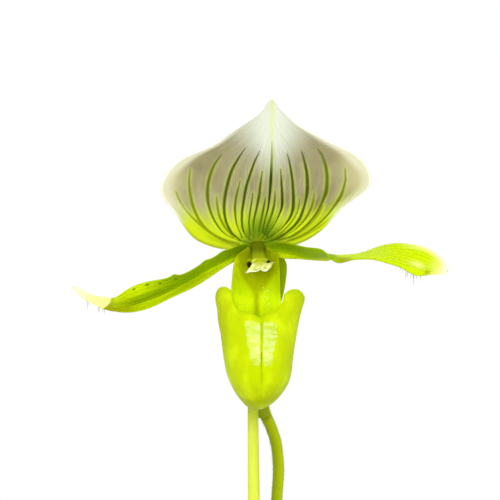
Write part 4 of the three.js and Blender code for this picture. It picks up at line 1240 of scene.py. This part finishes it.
# Support.
def stake():
    t = np.linspace(0, 1, 90)
    path = STAKE_FOOT + (STAKE_TIP - STAKE_FOOT) * t[:, None]
    radius = np.interp(t, *STAKE_RADII.T)
    radius = radius * (1 - 0.5 * ramp(t, 0.012, 0)) * (1 - 0.4 * ramp(t, 0.99, 1))
    shape = tube(path, radius, 32)
    look = plain_look("stake", ("d0dd46", "c3d036", "b6c330"), 60, 0.5, 0.15, stretch=(3, 3, 0.12),
                      relief=0.12, shaded="93a308")
    masks = {"shaded": ramp(shape[0][:, 2], 294, 305)}
    piece("support_stake", shape, look, "stake", place=0, masks=masks)


def tie():
    """A closed loop of wire: half round the stem and half round the stake."""
    wire, sides = 0.6, 16
    t = (TIE_Z - STAKE_FOOT[2]) / (STAKE_TIP - STAKE_FOOT)[2]
    post = STAKE_FOOT + (STAKE_TIP - STAKE_FOOT) * t
    knots = np.array(SCAPE)[::-1] + [*FLOWER, 0]
    stem = np.array([np.interp(TIE_Z, knots[:, 2], knots[:, k]) for k in (0, 1)] + [TIE_Z])
    heading = math.atan2(stem[1] - post[1], stem[0] - post[0])
    w = circle(96)
    near_stem = np.cos(w) > 0
    reach = np.where(near_stem, STEM_R + 0.25, np.interp(t, *STAKE_RADII.T)) + wire + GAP
    ring = np.stack([np.cos(w + heading), np.sin(w + heading), 0 * w], axis=1)
    centre = np.where(near_stem[:, None], stem, post)
    s = circle(sides)
    offset = ring[:, None] * (reach[:, None] + wire * np.cos(s))[..., None]
    points = centre[:, None] + offset + np.outer(wire * np.sin(s), [0, 0, 1])
    faces = quads(len(w), sides, close_columns=True, flip=True).tolist()
    look = plain_look("tie", ("2f5a2c", "24481f", "47733c"), 300, 0.6)
    piece("stem_tie", (points.reshape(-1, 3), faces), look, "tie", place=0)


# Build.
camera()
studio()
pot()
bark()
foliage = leaf_look()
for number, spec in enumerate(LEAVES, 1):
    leaf(number, *spec, foliage)
petals = petal_look()
warts = plain_look("wart", ("728c02", "5e7602", "86a004"), 600, 0.6, 0.05)
cream = plain_look("cilia", ("b4b48c", "9c9c78", "cccba8"), 300, 0.5)
dorsal_sepal(cream)
synsepal(petals)
for side in PETALS:
    petal(side, petals, warts, cream)
lip()
column()
scape(stem_look(), plain_look("stem_hair", ("b9c640", "a0ae30", "d4dc80"), 500, 0.6))
bract(plain_look("bract", ("788804", "93a40a", "66780a"), 200, 0.5, 0.1, stretch=(1, 1, 0.3)))
stake()
tie()
